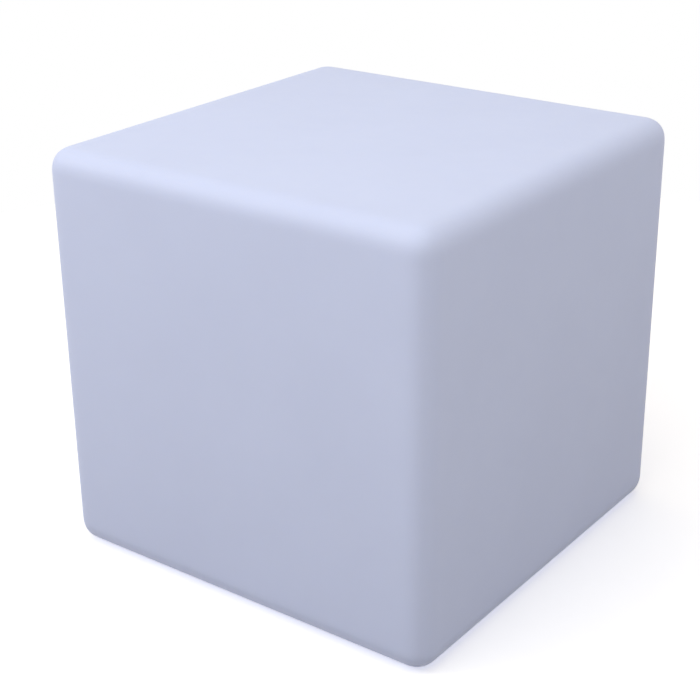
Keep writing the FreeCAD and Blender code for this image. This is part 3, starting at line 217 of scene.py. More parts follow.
def stations(half):
    """Grid lines across a face whose flat reaches half each way: (place, slope) from end to end."""
    slopes = [math.tan(math.pi / 4 * k / ROUND_STEPS) for k in range(1, ROUND_STEPS + 1)]
    inner = [half * math.tan(math.pi / 4 * (2 * i / FLAT_STEPS - 1)) for i in range(1, FLAT_STEPS)]
    flats = [-half, -half + SUPPORT, *inner, half - SUPPORT, half]
    return [(-half, -s) for s in reversed(slopes)] + [(c, 0.0) for c in flats] + [(half, s) for s in slopes]


def loop_angles():
    """Directions of the points round the underside, in step with the grid lines of the flat square."""
    flats = [c for c, slope in stations(FLAT_HALF) if slope == 0.0]
    return [math.pi / 2 * side + math.atan2(c, FLAT_HALF) for side in range(4) for c in flats[:-1]]


def reach_at(angle, half, corner):
    """How far a square of that half width and corner radius reaches at an angle from its centre."""
    turn = (angle + math.pi / 4) % (math.pi / 2) - math.pi / 4
    along, across = math.cos(turn), abs(math.sin(turn))
    if corner <= 0 or half * across / along <= half - corner:
        return half / along
    inset = half - corner
    total = inset * (along + across)
    return total + math.sqrt(max(0.0, total * total - 2 * inset * inset + corner * corner))


def rounded_section(half_a, half_b, radius, steps=3):
    """Points round a rectangle with rounded corners."""
    points = []
    for k, (side_a, side_b) in enumerate(((1, 1), (-1, 1), (-1, -1), (1, -1))):
        for a in sweep(steps, k * math.pi / 2):
            across = side_a * (half_a - radius) + radius * math.cos(a)
            points.append((across, side_b * (half_b - radius) + radius * math.sin(a)))
    return points


def inset_outline(outline, inset):
    """The outline, drawn in by an even amount; it runs counter-clockwise."""
    points = []
    count = len(outline)
    for k in range(count):
        before, here, after = (Vector(outline[(k + step) % count]) for step in (-1, 0, 1))
        one, two = (here - before).normalized(), (after - here).normalized()
        inward = Vector((-one.y - two.y, one.x + two.x))
        share = inward.length_squared / 2
        points.append(here + inward * (inset / share) if inset else here)
    return points


def open_ring(radius, line, gap, steps=28):
    """The outline of a ring with a gap at its top."""
    angles = sweep(steps, math.pi / 2 + gap, 2 * math.pi - 2 * gap)
    outer = [(radius * math.cos(a), radius * math.sin(a)) for a in angles]
    inner = [((radius - line) * math.cos(a), (radius - line) * math.sin(a)) for a in reversed(angles)]
    return outer + inner


# ================================================================ meshes
def object_from(name, bm, smooth_angle=40):
    mesh = bpy.data.meshes.new(name)
    bmesh.ops.recalc_face_normals(bm, faces=bm.faces)
    bm.to_mesh(mesh)
    bm.free()
    obj = bpy.data.objects.new(name, mesh)
    bpy.context.scene.collection.objects.link(obj)
    mesh.shade_smooth()
    if smooth_angle:
        mesh.set_sharp_from_angle(angle=math.radians(smooth_angle))
    return obj


def skin(bm, rings, closed, capped=True):
    """Quads between rings of points; open runs may get flat ends."""
    count = len(rings[0])
    spans = zip(rings, rings[1:] + rings[:1]) if closed else zip(rings, rings[1:])
    for one, two in spans:
        for k in range(count):
            n = (k + 1) % count
            bm.faces.new((one[k], one[n], two[n], two[k]))
    if capped and not closed:
        bm.faces.new(rings[0][::-1])
        bm.faces.new(rings[-1])


def loop_at(bm, z, reach):
    """New points round the underside's middle, each as far out as reach says for its angle."""
    places = [(reach(angle) * math.cos(angle), reach(angle) * math.sin(angle), z) for angle in loop_angles()]
    return [bm.verts.new(place) for place in places]


def cylinder(name, radius, low, high, places, segments=48):
    bm = bmesh.new()
    for x, y in places:
        made = bmesh.ops.create_cone(
            bm, cap_ends=True, segments=segments, radius1=radius, radius2=radius, depth=high - low
        )
        bmesh.ops.translate(bm, verts=made["verts"], vec=(x, y, (low + high) / 2))
    return object_from(name, bm)


def apply_boolean(obj, tool, operation):
    modifier = obj.modifiers.new(operation, "BOOLEAN")
    modifier.object = tool
    modifier.operation = operation
    modifier.solver = "EXACT"
    graph = bpy.context.evaluated_depsgraph_get()
    made = bpy.data.meshes.new_from_object(obj.evaluated_get(graph))
    obj.modifiers.clear()
    obj.data = made
    bpy.data.objects.remove(tool)


# ================================================================ the cube's skin
def softened(way):
    """The direction's point on a rounding of unit reach."""
    return way / sum(abs(c) ** EDGE_POWER for c in way) ** (1 / EDGE_POWER)


def rounded_box_faces(bm, radius, outward):
    """Adds the six faces of the rounded box, without the flat of the lowest one."""
    reach = Vector((FLAT_HALF, FLAT_HALF, HEIGHT / 2 - EDGE_REACH))
    centre = Vector((0, 0, HEIGHT / 2))
    for axis in range(3):
        a, b = (axis + 1) % 3, (axis + 2) % 3
        for side in (-1, 1):
            grid = []
            for place_a, slope_a in stations(reach[a]):
                row = []
                for place_b, slope_b in stations(reach[b]):
                    core, way = Vector((0, 0, 0)), Vector((0, 0, 0))
                    core[axis], core[a], core[b] = side * reach[axis], place_a, place_b
                    way[axis], way[a], way[b] = side, slope_a, slope_b
                    row.append(bm.verts.new(centre + core + softened(way) * radius))
                grid.append(row)
            last = len(grid) - 1
            lowest = axis == 2 and side == -1
            for i in range(last):
                for j in range(len(grid[0]) - 1):
                    if lowest and all(ROUND_STEPS <= k < last - ROUND_STEPS for k in (i, j)):
                        continue
                    corners = [grid[i][j], grid[i + 1][j], grid[i + 1][j + 1], grid[i][j + 1]]
                    bm.faces.new(corners if (side == 1) == outward else corners[::-1])


def ceiling_loops():
    """Loops of the underside from the standing rim to the recess and its ledge: half, corner, z."""
    loops = [
        (FLAT_HALF, 0.0, 0.0),
        (FLAT_HALF - RIM_STEP, RIM_CORNER, 0.0),
        (RELIEF_START + RELIEF_LEAD, RELIEF_CORNER * RELIEF_LEAD_CORNER, 0.0),
    ]
    for k in range(RELIEF_STEPS + 1):
        share = k / RELIEF_STEPS
        half = RELIEF_START + (RELIEF_END - RELIEF_START) * share
        loops.append((half, RELIEF_CORNER + (half - RELIEF_START), RELIEF_DEPTH * eased(share)))
    mouth = RECESS_RADIUS + MOUTH_RADIUS
    roundness = (RELIEF_CORNER - RELIEF_START + RELIEF_END) / RELIEF_END
    for share in CEILING_SHARES:
        half = RELIEF_END + (mouth + MOUTH_LEAD - RELIEF_END) * share
        loops.append((half, half * (roundness + (1 - roundness) * share), RELIEF_DEPTH))
    for a in sweep(7):
        half = mouth - MOUTH_RADIUS * math.sin(a)
        loops.append((half, half, RELIEF_DEPTH + MOUTH_RADIUS * (1 - math.cos(a))))
    inner = RECESS_RADIUS - LEDGE_CORNER
    for a in sweep(4):
        half = inner + LEDGE_CORNER * math.cos(a)
        loops.append((half, half, LEDGE_LOW - LEDGE_CORNER + LEDGE_CORNER * math.sin(a)))
    return loops


def opening_loops():
    """Loops of the ledge round the opening, with its bevels."""
    levels = (
        (INSERT_CIRCLE, LEDGE_LOW),
        (OPENING_RADIUS + OPENING_BEVEL, LEDGE_LOW),
        (OPENING_RADIUS, LEDGE_LOW + OPENING_BEVEL),
        (OPENING_RADIUS, LEDGE_HIGH - OPENING_BEVEL),
        (OPENING_RADIUS + OPENING_BEVEL, LEDGE_HIGH),
        (INSERT_CIRCLE, LEDGE_HIGH),
    )
    return [(half, half, z) for half, z in levels]


def hollow_loops():
    """Loops of the hollow's floor, from the ledge back out to the flat square."""
    loops = []
    outer = RECESS_RADIUS + WALL
    fillet = LEDGE_CORNER + WALL
    for a in sweep(5):
        half = outer - fillet + fillet * math.sin(a)
        loops.append((half, half, LEDGE_HIGH - fillet + fillet * math.cos(a)))
    floor = WALL + RELIEF_DEPTH
    for a in sweep(3):
        half = outer + HOLLOW_FILLET * (1 - math.cos(a))
        loops.append((half, half, floor + HOLLOW_FILLET * (1 - math.sin(a))))
    step = RELIEF_START + WALL
    for share in HOLLOW_SHARES:
        half = outer + (step - HOLLOW_SLOPE - outer) * share
        loops.append((half, half * (1 - HOLLOW_SQUARING * share), floor))
    loops.append((step - HOLLOW_SLOPE, RELIEF_CORNER, floor))
    loops.append((step + HOLLOW_SLOPE, RELIEF_CORNER, WALL))
    loops.append((FLAT_HALF, 0.0, WALL))
    return loops


def moulded(point):
    """The point of a perfect box, drawn in by the slight sink and waves of a rotation moulding."""
    middle = Vector((0, 0, HEIGHT / 2))
    out = point - middle
    limits = Vector((HALF_WIDTH, HALF_WIDTH, HEIGHT / 2))
    for axis in range(3):
        if abs(abs(out[axis]) - limits[axis]) < ON_FACE and not (axis == 2 and out.z < 0):
            a, b = (axis + 1) % 3, (axis + 2) % 3
            share_a = max(0.0, 1 - (out[a] / FLAT_HALF) ** 2)
            share_b = max(0.0, 1 - (out[b] / (limits[b] - EDGE_REACH)) ** 2)
            share = min(1.0, FADE * share_a) * min(1.0, FADE * share_b)
            wave = 0.5 + 0.5 * noise.noise(point / WAVE_LENGTH + WAVE_ORIGIN)
            depth = share * (SINK * share_a * share_b + WAVES * wave)
            out[axis] -= math.copysign(depth, out[axis])
    return middle + out


def add_insert_bosses(shell):
    """Bosses on the ledge, with the blind holes that hold the threaded inserts."""
    spots = []
    for k in range(INSERT_COUNT):
        angle = math.radians(90 + 360 / INSERT_COUNT * k)
        spots.append((INSERT_CIRCLE * math.cos(angle), INSERT_CIRCLE * math.sin(angle)))
    boss_radius = INSERT_RADIUS + INSERT_BOSS_WALL
    boss_low = LEDGE_LOW + LEDGE_THICKNESS / 2
    bosses = cylinder("bosses", boss_radius, boss_low, INSERT_HIGH.z + INSERT_BOSS_WALL, spots)
    apply_boolean(shell, bosses, "UNION")
    holes = cylinder("holes", INSERT_RADIUS, LEDGE_LOW - INSERT_CUT_START, INSERT_HIGH.z, spots)
    apply_boolean(shell, holes, "DIFFERENCE")


def merge_slivers(mesh):
    bm = bmesh.new()
    bm.from_mesh(mesh)
    bmesh.ops.remove_doubles(bm, verts=bm.verts, dist=SLIVER)
    bmesh.ops.dissolve_degenerate(bm, edges=bm.edges, dist=SLIVER)
    bm.to_mesh(mesh)
    bm.free()


def make_shell(materials):
    """The cube's one-piece skin: outer face, underside with its recess, and the face of the hollow."""
    bm = bmesh.new()
    rounded_box_faces(bm, EDGE_REACH, True)
    rounded_box_faces(bm, EDGE_REACH - WALL, False)
    loops = ceiling_loops() + opening_loops() + hollow_loops()
    rings = [loop_at(bm, z, lambda angle: reach_at(angle, half, corner)) for half, corner, z in loops]
    for before, ring in zip(rings, rings[1:]):
        for k in range(len(ring)):
            n = (k + 1) % len(ring)
            bm.faces.new((before[k], ring[k], ring[n], before[n]))
    bmesh.ops.remove_doubles(bm, verts=bm.verts, dist=SEAM)
    for v in bm.verts:
        v.co = moulded(v.co)
    shell = object_from("moulded_cube", bm, smooth_angle=None)
    add_insert_bosses(shell)
    merge_slivers(shell.data)
    shell.data.shade_smooth()
    shell.data.set_sharp_from_angle(angle=math.radians(SKIN_SMOOTH))
    shell.data.materials.clear()
    shell.data.materials.append(materials["polyethylene"])
    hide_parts("cube_shell")
    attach(shell, "cube")


# ================================================================ materials
class Nodes:
    """Short calls for building a node tree."""

    def __init__(self, tree):
        self.tree = tree

    def add(self, kind, inputs=None, **settings):
        node = self.tree.nodes.new(kind)
        for key, value in settings.items():
            setattr(node, key, value)
        for key, value in (inputs or {}).items():
            self.feed(node.inputs[key], value)
        return node

    def feed(self, socket, value):
        if isinstance(value, bpy.types.NodeSocket):
            self.tree.links.new(value, socket)
        else:
            socket.default_value = value

    def math(self, operation, a, b=0.0, c=0.0):
        node = self.add("ShaderNodeMath", operation=operation)
        for socket, value in zip(node.inputs, (a, b, c)):
            self.feed(socket, value)
        return node.outputs[0]

    def mix(self, factor, a, b):
        node = self.add("ShaderNodeMix", data_type="RGBA")
        self.feed(node.inputs[0], factor)
        self.feed(node.inputs[6], a)
        self.feed(node.inputs[7], b)
        return node.outputs[2]

    def background_rays(self):
        """1 for the rays that show the background: straight to the camera, mirrored or through glass."""
        path = self.add("ShaderNodeLightPath").outputs
        mirrored = self.math("MAXIMUM", path["Is Glossy Ray"], path["Is Transmission Ray"])
        return self.math("MAXIMUM", path["Is Camera Ray"], mirrored)


class Surface(Nodes):
    """The nodes of a new material."""

    def __init__(self, name):
        self.material = bpy.data.materials.new(name)
        self.material.use_nodes = True
        super().__init__(self.material.node_tree)
        self.shader = self.tree.nodes["Principled BSDF"]
        self.place = self.add("ShaderNodeTexCoord").outputs["Object"]

    def set(self, **values):
        """Feeds the shader's inputs. An underscore in a name stands for a space."""
        for key, value in values.items():
            self.feed(self.shader.inputs[key.replace("_", " ")], value)

    def noise(self, scale, detail=3.0, roughness=0.5, place=None):
        inputs = {"Vector": place or self.place, "Scale": scale, "Detail": detail, "Roughness": roughness}
        return self.add("ShaderNodeTexNoise", inputs).outputs["Fac"]

    def cells(self, scale):
        inputs = {"Vector": self.place, "Scale": scale}
        return self.add("ShaderNodeTexVoronoi", inputs, feature="F1").outputs["Distance"]

    def spread(self, value, low, high, from_low=NOISE_LOW, from_high=NOISE_HIGH):
        inputs = {"Value": value, "From Min": from_low, "From Max": from_high, "To Min": low, "To Max": high}
        return self.add("ShaderNodeMapRange", inputs).outputs["Result"]

    def bump(self, height, distance, strength=1.0, after=None):
        inputs = {"Height": height, "Distance": distance, "Strength": strength}
        node = self.add("ShaderNodeBump", inputs)
        if after:
            self.feed(node.inputs["Normal"], after)
        return node.outputs["Normal"]


def rgb(r, g, b):
    """A colour given in screen values, 0 to 1."""
    linear = [c / 12.92 if c <= 0.04045 else ((c + 0.055) / 1.055) ** 2.4 for c in (r, g, b)]
    return (*linear, 1.0)


def shade(colour, factor):
    return (colour[0] * factor, colour[1] * factor, colour[2] * factor, 1.0)


def polyethylene():
    """Satin, faintly cloudy, with the fine dimples of the blasted wall of a rotation mould."""
    n = Surface("polyethylene")
    base = POLYETHYLENE_COLOUR
    clouds = n.spread(n.noise(9.0, 4.0, 0.55), 0.0, 1.0)
    specks = n.spread(n.noise(900.0, 2.0), 0.0, 1.0, 0.62, 0.72)
    colour = n.mix(clouds, shade(base, 0.985), shade(base, 1.012))
    colour = n.mix(n.math("MULTIPLY", specks, 0.10), colour, shade(base, 0.88))
    rough = n.math("ADD", n.spread(n.noise(60.0, 4.0), 0.51, 0.59), n.spread(n.noise(900.0), -0.02, 0.02))
    dimples = n.bump(n.cells(750.0), 0.035 * MM, 0.6)
    peel = n.bump(n.noise(160.0, 2.0), 0.05 * MM, 0.5, dimples)
    n.set(Base_Color=colour, Roughness=rough, Normal=n.bump(n.noise(22.0, 1.0), 0.12 * MM, 0.4, peel))
    n.set(IOR=1.5, Subsurface_Weight=0.12, Subsurface_Radius=(1.0, 0.85, 0.7), Subsurface_Scale=2.5 * MM)
    return n.material


def moulded_plastic(name, colour, roughness, grain=1400.0, depth=0.03 * MM, coat=0.0):
    """Injection-moulded plastic with a spark-eroded grain."""
    n = Surface(name)
    tone = n.mix(n.spread(n.noise(25.0, 4.0), 0.0, 1.0), shade(colour, 0.96), shade(colour, 1.03))
    tone = n.mix(n.spread(n.noise(grain, 2.0), 0.0, 0.12), tone, shade(colour, 0.8))
    n.set(Base_Color=tone, Roughness=n.spread(n.noise(80.0, 5.0), roughness - 0.05, roughness + 0.06))
    n.set(Normal=n.bump(n.noise(grain, 3.0), depth, 0.8), IOR=1.5, Coat_Weight=coat)
    return n.material


def rubber(name, colour, roughness=0.62):
    """Soft moulded rubber with a faint bloom and dust in its pores."""
    n = Surface(name)
    bloom = n.spread(n.noise(70.0, 6.0, 0.65), 0.0, 0.45, 0.45, 0.75)
    pores = n.spread(n.noise(1800.0, 2.0), 0.0, 0.3, 0.6, 0.75)
    tone = n.mix(bloom, colour, shade(colour, 1.9))
    n.set(Base_Color=n.mix(pores, tone, shade(colour, 2.6)))
    n.set(Roughness=n.spread(n.noise(120.0, 4.0), roughness - 0.08, roughness + 0.1), IOR=1.5)
    n.set(Normal=n.bump(n.noise(1500.0, 4.0), 0.03 * MM, 0.8), Sheen_Weight=0.15)
    return n.material


def metal(name, colour, roughness, stretch=(40.0, 40.0, 1.0), scale=120.0):
    """Metal with fine drawn or turned lines and a little tarnish."""
    n = Surface(name)
    mapped = n.add("ShaderNodeMapping", {"Vector": n.place, "Scale": stretch}).outputs["Vector"]
    lines = n.noise(scale, 4.0, 0.6, mapped)
    stain = n.spread(n.noise(35.0, 5.0, 0.6), 0.0, 0.5, 0.45, 0.8)
    n.set(Base_Color=n.mix(stain, colour, shade(colour, 0.78)), Metallic=1.0)
    drawn = n.spread(lines, roughness - 0.06, roughness + 0.08)
    n.set(Roughness=n.math("ADD", drawn, n.math("MULTIPLY", stain, 0.15)))
    n.set(Normal=n.bump(lines, 0.01 * MM, 0.5))
    return n.material


def turned_metal(name, colour, roughness, centre, inked=None):
    """Metal faced on a lathe: fine rings round an upright axis. inked, if given, spans the inked levels."""
    n = Surface(name)
    moved = n.add("ShaderNodeMapping", {"Vector": n.place, "Location": (-centre[0], -centre[1], 0.0)})
    split = n.add("ShaderNodeSeparateXYZ", {"Vector": moved.outputs["Vector"]})
    square = n.math("ADD", n.math("POWER", split.outputs[0], 2.0), n.math("POWER", split.outputs[1], 2.0))
    radius = n.math("SQRT", square)
    rings = n.math("SINE", n.math("MULTIPLY", radius, 2 * math.pi / TURNING_PITCH))
    wear = n.spread(n.noise(260.0, 5.0, 0.6), 0.0, 0.6, 0.5, 0.8)
    sheen = n.mix(n.spread(rings, 0.0, 0.5, -1.0, 1.0), colour, shade(colour, 0.8))
    tone = n.mix(wear, sheen, shade(colour, 0.82))
    bare = 1.0
    if inked:
        level = split.outputs[2]
        above, below = n.math("GREATER_THAN", level, inked[0]), n.math("LESS_THAN", level, inked[1])
        painted = n.math("MULTIPLY", above, below)
        painted = n.math("MULTIPLY", painted, n.math("LESS_THAN", radius, INK_REACH))
        tone = n.mix(painted, tone, INK_COLOUR)
        bare = n.math("SUBTRACT", 1.0, painted)
    n.set(Base_Color=tone, Metallic=bare)
    turned = n.spread(rings, roughness - 0.05, roughness + 0.07, -1.0, 1.0)
    n.set(Roughness=n.math("ADD", turned, n.math("MULTIPLY", wear, 0.25)))
    n.set(Normal=n.bump(n.math("ADD", rings, n.noise(900.0, 3.0)), 0.006 * MM, 0.6))
    return n.material


def clear_plastic(name, colour, roughness, transmission):
    """Clear or frosted moulded plastic."""
    n = Surface(name)
    tone = n.mix(n.spread(n.noise(40.0, 4.0), 0.0, 1.0), shade(colour, 0.97), colour)
    n.set(Base_Color=tone, Roughness=n.spread(n.noise(500.0, 3.0), roughness - 0.03, roughness + 0.05))
    n.set(Transmission_Weight=transmission, IOR=1.49, Normal=n.bump(n.noise(900.0, 2.0), 0.02 * MM, 0.5))
    return n.material


def circuit_board(name, mask, track):
    """Solder mask with the shadow of the copper tracks under it."""
    n = Surface(name)
    grid = n.add("ShaderNodeTexBrick", {"Vector": n.place, "Scale": 190.0, "Mortar Size": 0.09}, offset=0.37)
    tracks = n.math("MULTIPLY", grid.outputs["Fac"], n.spread(n.noise(45.0, 2.0), 0.0, 1.0, 0.45, 0.5))
    tone = n.mix(tracks, mask, track)
    n.set(Base_Color=n.mix(n.spread(n.noise(30.0, 3.0), 0.0, 0.2), tone, shade(mask, 0.7)))
    n.set(Roughness=n.spread(n.noise(300.0, 3.0), 0.28, 0.38), Normal=n.bump(tracks, 0.03 * MM, 0.6))
    n.set(Coat_Weight=0.3)
    return n.material


def islands(name, colours, roughness):
    """Plastic sleeves whose colour changes from one wire to the next."""
    n = Surface(name)
    pick = n.add("ShaderNodeNewGeometry").outputs["Random Per Island"]
    tone = colours[0]
    for k, colour in enumerate(colours[1:], 1):
        tone = n.mix(n.math("GREATER_THAN", pick, k / len(colours)), tone, colour)
    dust = n.spread(n.noise(160.0, 5.0), 0.0, 0.25, 0.45, 0.8)
    n.set(Base_Color=n.mix(dust, tone, rgb(0.5, 0.49, 0.47)))
    n.set(Roughness=n.spread(n.noise(200.0, 3.0), roughness - 0.05, roughness + 0.08))
    n.set(Normal=n.bump(n.noise(1200.0, 2.0), 0.015 * MM, 0.6))
    return n.material


def phosphor(name):
    """LED packages: white plastic frames round yellow phosphor windows, by height within the package."""
    n = Surface(name)
    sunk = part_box("leds")[1].z - PHOSPHOR_SUNK
    z = n.add("ShaderNodeSeparateXYZ", {"Vector": n.place}).outputs[2]
    facing = n.add("ShaderNodeSeparateXYZ", {"Vector": n.add("ShaderNodeNewGeometry").outputs["Normal"]})
    window = n.math("MULTIPLY", n.math("LESS_THAN", z, sunk), n.math("GREATER_THAN", facing.outputs[2], 0.7))
    grain = n.spread(n.noise(3000.0, 2.0), 0.0, 0.3)
    yellow = n.mix(grain, rgb(0.95, 0.83, 0.30), rgb(0.80, 0.66, 0.18))
    n.set(Base_Color=n.mix(window, rgb(0.93, 0.93, 0.91), yellow))
    n.set(Roughness=n.spread(window, 0.42, 0.18, 0.0, 1.0), Normal=n.bump(grain, 0.01 * MM))
    return n.material


def make_materials():
    steel = rgb(0.73, 0.73, 0.745)
    cap_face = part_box("button_cap")[0].z
    ink_levels = [cap_face + level for level in INK_LEVELS]
    white_wires = (rgb(0.86, 0.86, 0.84), rgb(0.80, 0.10, 0.08), rgb(0.10, 0.45, 0.16), rgb(0.10, 0.25, 0.65))
    return {
        "polyethylene": polyethylene(),
        "housing_plastic": moulded_plastic("housing_plastic", rgb(0.80, 0.82, 0.86), 0.52),
        "frosted_lens": clear_plastic("frosted_lens", rgb(0.95, 0.96, 0.97), 0.45, 0.75),
        "black_rubber": rubber("black_rubber", rgb(0.13, 0.13, 0.14)),
        "cap_rubber": rubber("cap_rubber", rgb(0.21, 0.22, 0.24), 0.55),
        "steel": metal("steel", steel, 0.30, (1.0, 1.0, 30.0), 400.0),
        "button_steel": turned_metal("button_steel", steel, 0.27, BUTTON),
        "inked_steel": turned_metal("inked_steel", steel, 0.25, BUTTON, ink_levels),
        "milky_plastic": clear_plastic("milky_plastic", rgb(0.93, 0.94, 0.95), 0.35, 0.35),
        "sign_ink": moulded_plastic("sign_ink", rgb(0.30, 0.31, 0.35), 0.45, 900.0, 0.01 * MM),
        "brass": metal("brass", rgb(0.87, 0.72, 0.40), 0.28),
        "aluminium_board": circuit_board("aluminium_board", rgb(0.92, 0.93, 0.93), rgb(0.82, 0.83, 0.84)),
        "led_package": phosphor("led_package"),
        "dark_epoxy": clear_plastic("dark_epoxy", rgb(0.12, 0.08, 0.12), 0.12, 0.3),
        "nickel": metal("nickel", rgb(0.80, 0.79, 0.76), 0.25),
        "insulating_paper": moulded_plastic("insulating_paper", rgb(0.62, 0.70, 0.60), 0.8, 700.0, 0.05 * MM),
        "shrink_wrap": moulded_plastic("shrink_wrap", rgb(0.08, 0.27, 0.58), 0.22, 260.0, 0.06 * MM, 0.4),
        "foam": rubber("foam", rgb(0.20, 0.20, 0.21), 0.9),
        "circuit_board": circuit_board("circuit_board", rgb(0.05, 0.33, 0.18), rgb(0.12, 0.45, 0.24)),
        "chip_black": moulded_plastic("chip_black", rgb(0.12, 0.12, 0.13), 0.5, 2500.0, 0.01 * MM),
        "ferrite": moulded_plastic("ferrite", rgb(0.22, 0.21, 0.21), 0.7, 900.0, 0.05 * MM),
        "capacitor_can": metal("capacitor_can", rgb(0.82, 0.83, 0.85), 0.32),
        "nylon": moulded_plastic("nylon", rgb(0.92, 0.91, 0.86), 0.4, 500.0, 0.02 * MM),
        "red_black_wire": islands("red_black_wire", (rgb(0.75, 0.08, 0.06), rgb(0.07, 0.07, 0.075)), 0.38),
        "white_wire": islands("white_wire", white_wires, 0.38),
        "socket_plastic": moulded_plastic("socket_plastic", rgb(0.11, 0.11, 0.12), 0.36, 1600.0, 0.02 * MM),
        "clear_plastic": clear_plastic("clear_plastic", rgb(0.95, 0.96, 0.97), 0.12, 0.9),
    }


def dress_nodes(materials):
    """Gives every CAD node the finished material of its slot, and two of them one of their own."""
    slots = {part["node"]: part["material_slot"] for part in frame["record"]["subparts"]}
    own = {"button_cap": "inked_steel", "indicator_light_pipe": "milky_plastic"}
    for name, obj in frame["nodes"].items():
        material = materials[own.get(name, slots[name])]
        if not obj.material_slots:
            obj.data.materials.append(material)
        for place in obj.material_slots:
            place.material = material


# ================================================================ pieces over the frame
def make_strap(materials):
    """The strap of the socket's cap: a ring round the socket, and a tongue that folds back to the cap."""
    low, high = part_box("socket_cap_strap")
    ring_outer = high.x - SOCKET.x
    ring_middle = (ring_outer + STRAP_RING_INNER) / 2
    top_axis, low_axis = high.z - STRAP_THICKNESS / 2, low.z + STRAP_THICKNESS / 2
    fold_z, fold_radius = (top_axis + low_axis) / 2, (top_axis - low_axis) / 2
    fold_x = low.x + fold_radius + STRAP_THICKNESS / 2
    bm = bmesh.new()

    # The ring, as a tube of rounded rectangular section.
    section = rounded_section((ring_outer - STRAP_RING_INNER) / 2, STRAP_THICKNESS / 2, STRAP_CORNER)
    rings = []
    for a in round_angles(STRAP_RING_STEPS):
        ring = []
        for u, v in section:
            x, y = (ring_middle + u) * math.cos(a), (ring_middle + u) * math.sin(a)
            ring.append(bm.verts.new((SOCKET.x + x, SOCKET.y + y, top_axis + v)))
        rings.append(ring)
    skin(bm, rings, closed=True)

    # The tongue, along the panel, round the fold and back to its end at the cap.
    start_x, end_x = SOCKET.x - ring_middle, SOCKET.x - STRAP_LUG
    path = [(start_x + t * (fold_x - start_x), top_axis, 0.0) for t in (0, 0.25, 0.5, 0.75)]
    for a in sweep(STRAP_FOLD_STEPS, 0.0, math.pi):
        path.append((fold_x - fold_radius * math.sin(a), fold_z + fold_radius * math.cos(a), a))
    path += [(fold_x + t * (end_x - fold_x), low_axis, math.pi) for t in (0.34, 0.67, 1.0)]
    section = rounded_section(STRAP_HALF_WIDTH, STRAP_THICKNESS / 2, STRAP_CORNER)
    rings = []
    for x, z, a in path:
        up = Vector((-math.sin(a), 0, math.cos(a)))
        rings.append([bm.verts.new(Vector((x, SOCKET.y + u, z)) + up * v) for u, v in section])
    skin(bm, rings, closed=False)
    strap = object_from("cap_strap", bm, smooth_angle=35)
    strap.data.materials.append(materials["cap_rubber"])
    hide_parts("socket_cap_strap")
    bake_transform(strap)


def spring_levels(bottom, top):
    """Heights of the wire's middle from step to step: closed turns at the ends, open ones between."""
    steps = SPRING_TURNS * SPRING_STEPS
    shares = []
    for k in range(steps):
        turns_from_end = (min(k, steps - 1 - k) + 0.5) / SPRING_STEPS
        shares.append(eased(min(1.0, max(0.0, (turns_from_end - SPRING_CLOSED) / SPRING_OPENING))))
    closed_climb = SPRING_CLOSED_PITCH * SPRING_WIRE / SPRING_STEPS
    open_climb = (top - bottom - closed_climb * steps) / sum(shares)
    levels = [bottom]
    for share in shares:
        levels.append(levels[-1] + closed_climb + open_climb * share)
    return levels


def make_spring(materials):
    """The push button's compression spring."""
    low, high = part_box("button_spring")
    middle = (low + high) / 2
    radius = (high.x - low.x) / 2 - SPRING_WIRE / 2
    end_inset = SPRING_SEAT + SPRING_WIRE / 2
    section = [(math.cos(a), math.sin(a)) for a in round_angles(SPRING_SIDES)]
    up = Vector((0, 0, 1))
    bm = bmesh.new()
    rings = []
    for k, level in enumerate(spring_levels(low.z + end_inset, high.z - end_inset)):
        angle = 2 * math.pi * k / SPRING_STEPS
        outward = Vector((math.cos(angle), math.sin(angle), 0))
        centre = Vector((middle.x, middle.y, level)) + outward * radius
        rings.append([bm.verts.new(centre + (outward * u + up * v) * (SPRING_WIRE / 2)) for u, v in section])
    skin(bm, rings, closed=False)
    spring = object_from("switch_spring", bm, smooth_angle=35)
    spring.data.materials.append(materials["steel"])
    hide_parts("button_spring")
    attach(spring, "cube")
    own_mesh(spring)


def raised_shape(name, outlines, fitting, materials):
    """A small sign on the lamp unit's panel, beside a fitting: flat outlines with a softened edge."""
    face = PANEL_Z - SIGN_RISE
    spot_x, spot_y = fitting.x, fitting.y + SIGN_SPACING
    bm = bmesh.new()
    for outline in outlines:
        rings = []
        for level, inset in ((PANEL_Z, 0.0), (face + SIGN_EDGE, 0.0), (face, SIGN_EDGE)):
            points = inset_outline(outline, inset)
            rings.append([bm.verts.new((spot_x + x, spot_y + y, level)) for x, y in points])
        skin(bm, rings, closed=False)
    sign = object_from(name, bm, smooth_angle=30)
    sign.data.materials.append(materials["sign_ink"])
    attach(sign, "cube")


def make_signs(materials):
    """Plain signs by the fittings: a switch sign by the button, and a bolt by the charging socket."""
    half, start, end = SIGN_LINE / 2, STROKE_START, SIGN_RING + STROKE_PAST
    stroke = [(-half, start), (half, start), (half, end), (-half, end)]
    raised_shape("switch_sign", [open_ring(SIGN_RING, SIGN_LINE, SIGN_GAP), stroke], BUTTON, materials)
    raised_shape("charging_sign", [[(x * MM, y * MM) for x, y in BOLT]], SOCKET, materials)


def build_object():
    materials = make_materials()
    dress_nodes(materials)
    make_shell(materials)
    make_strap(materials)
    make_spring(materials)
    make_signs(materials)


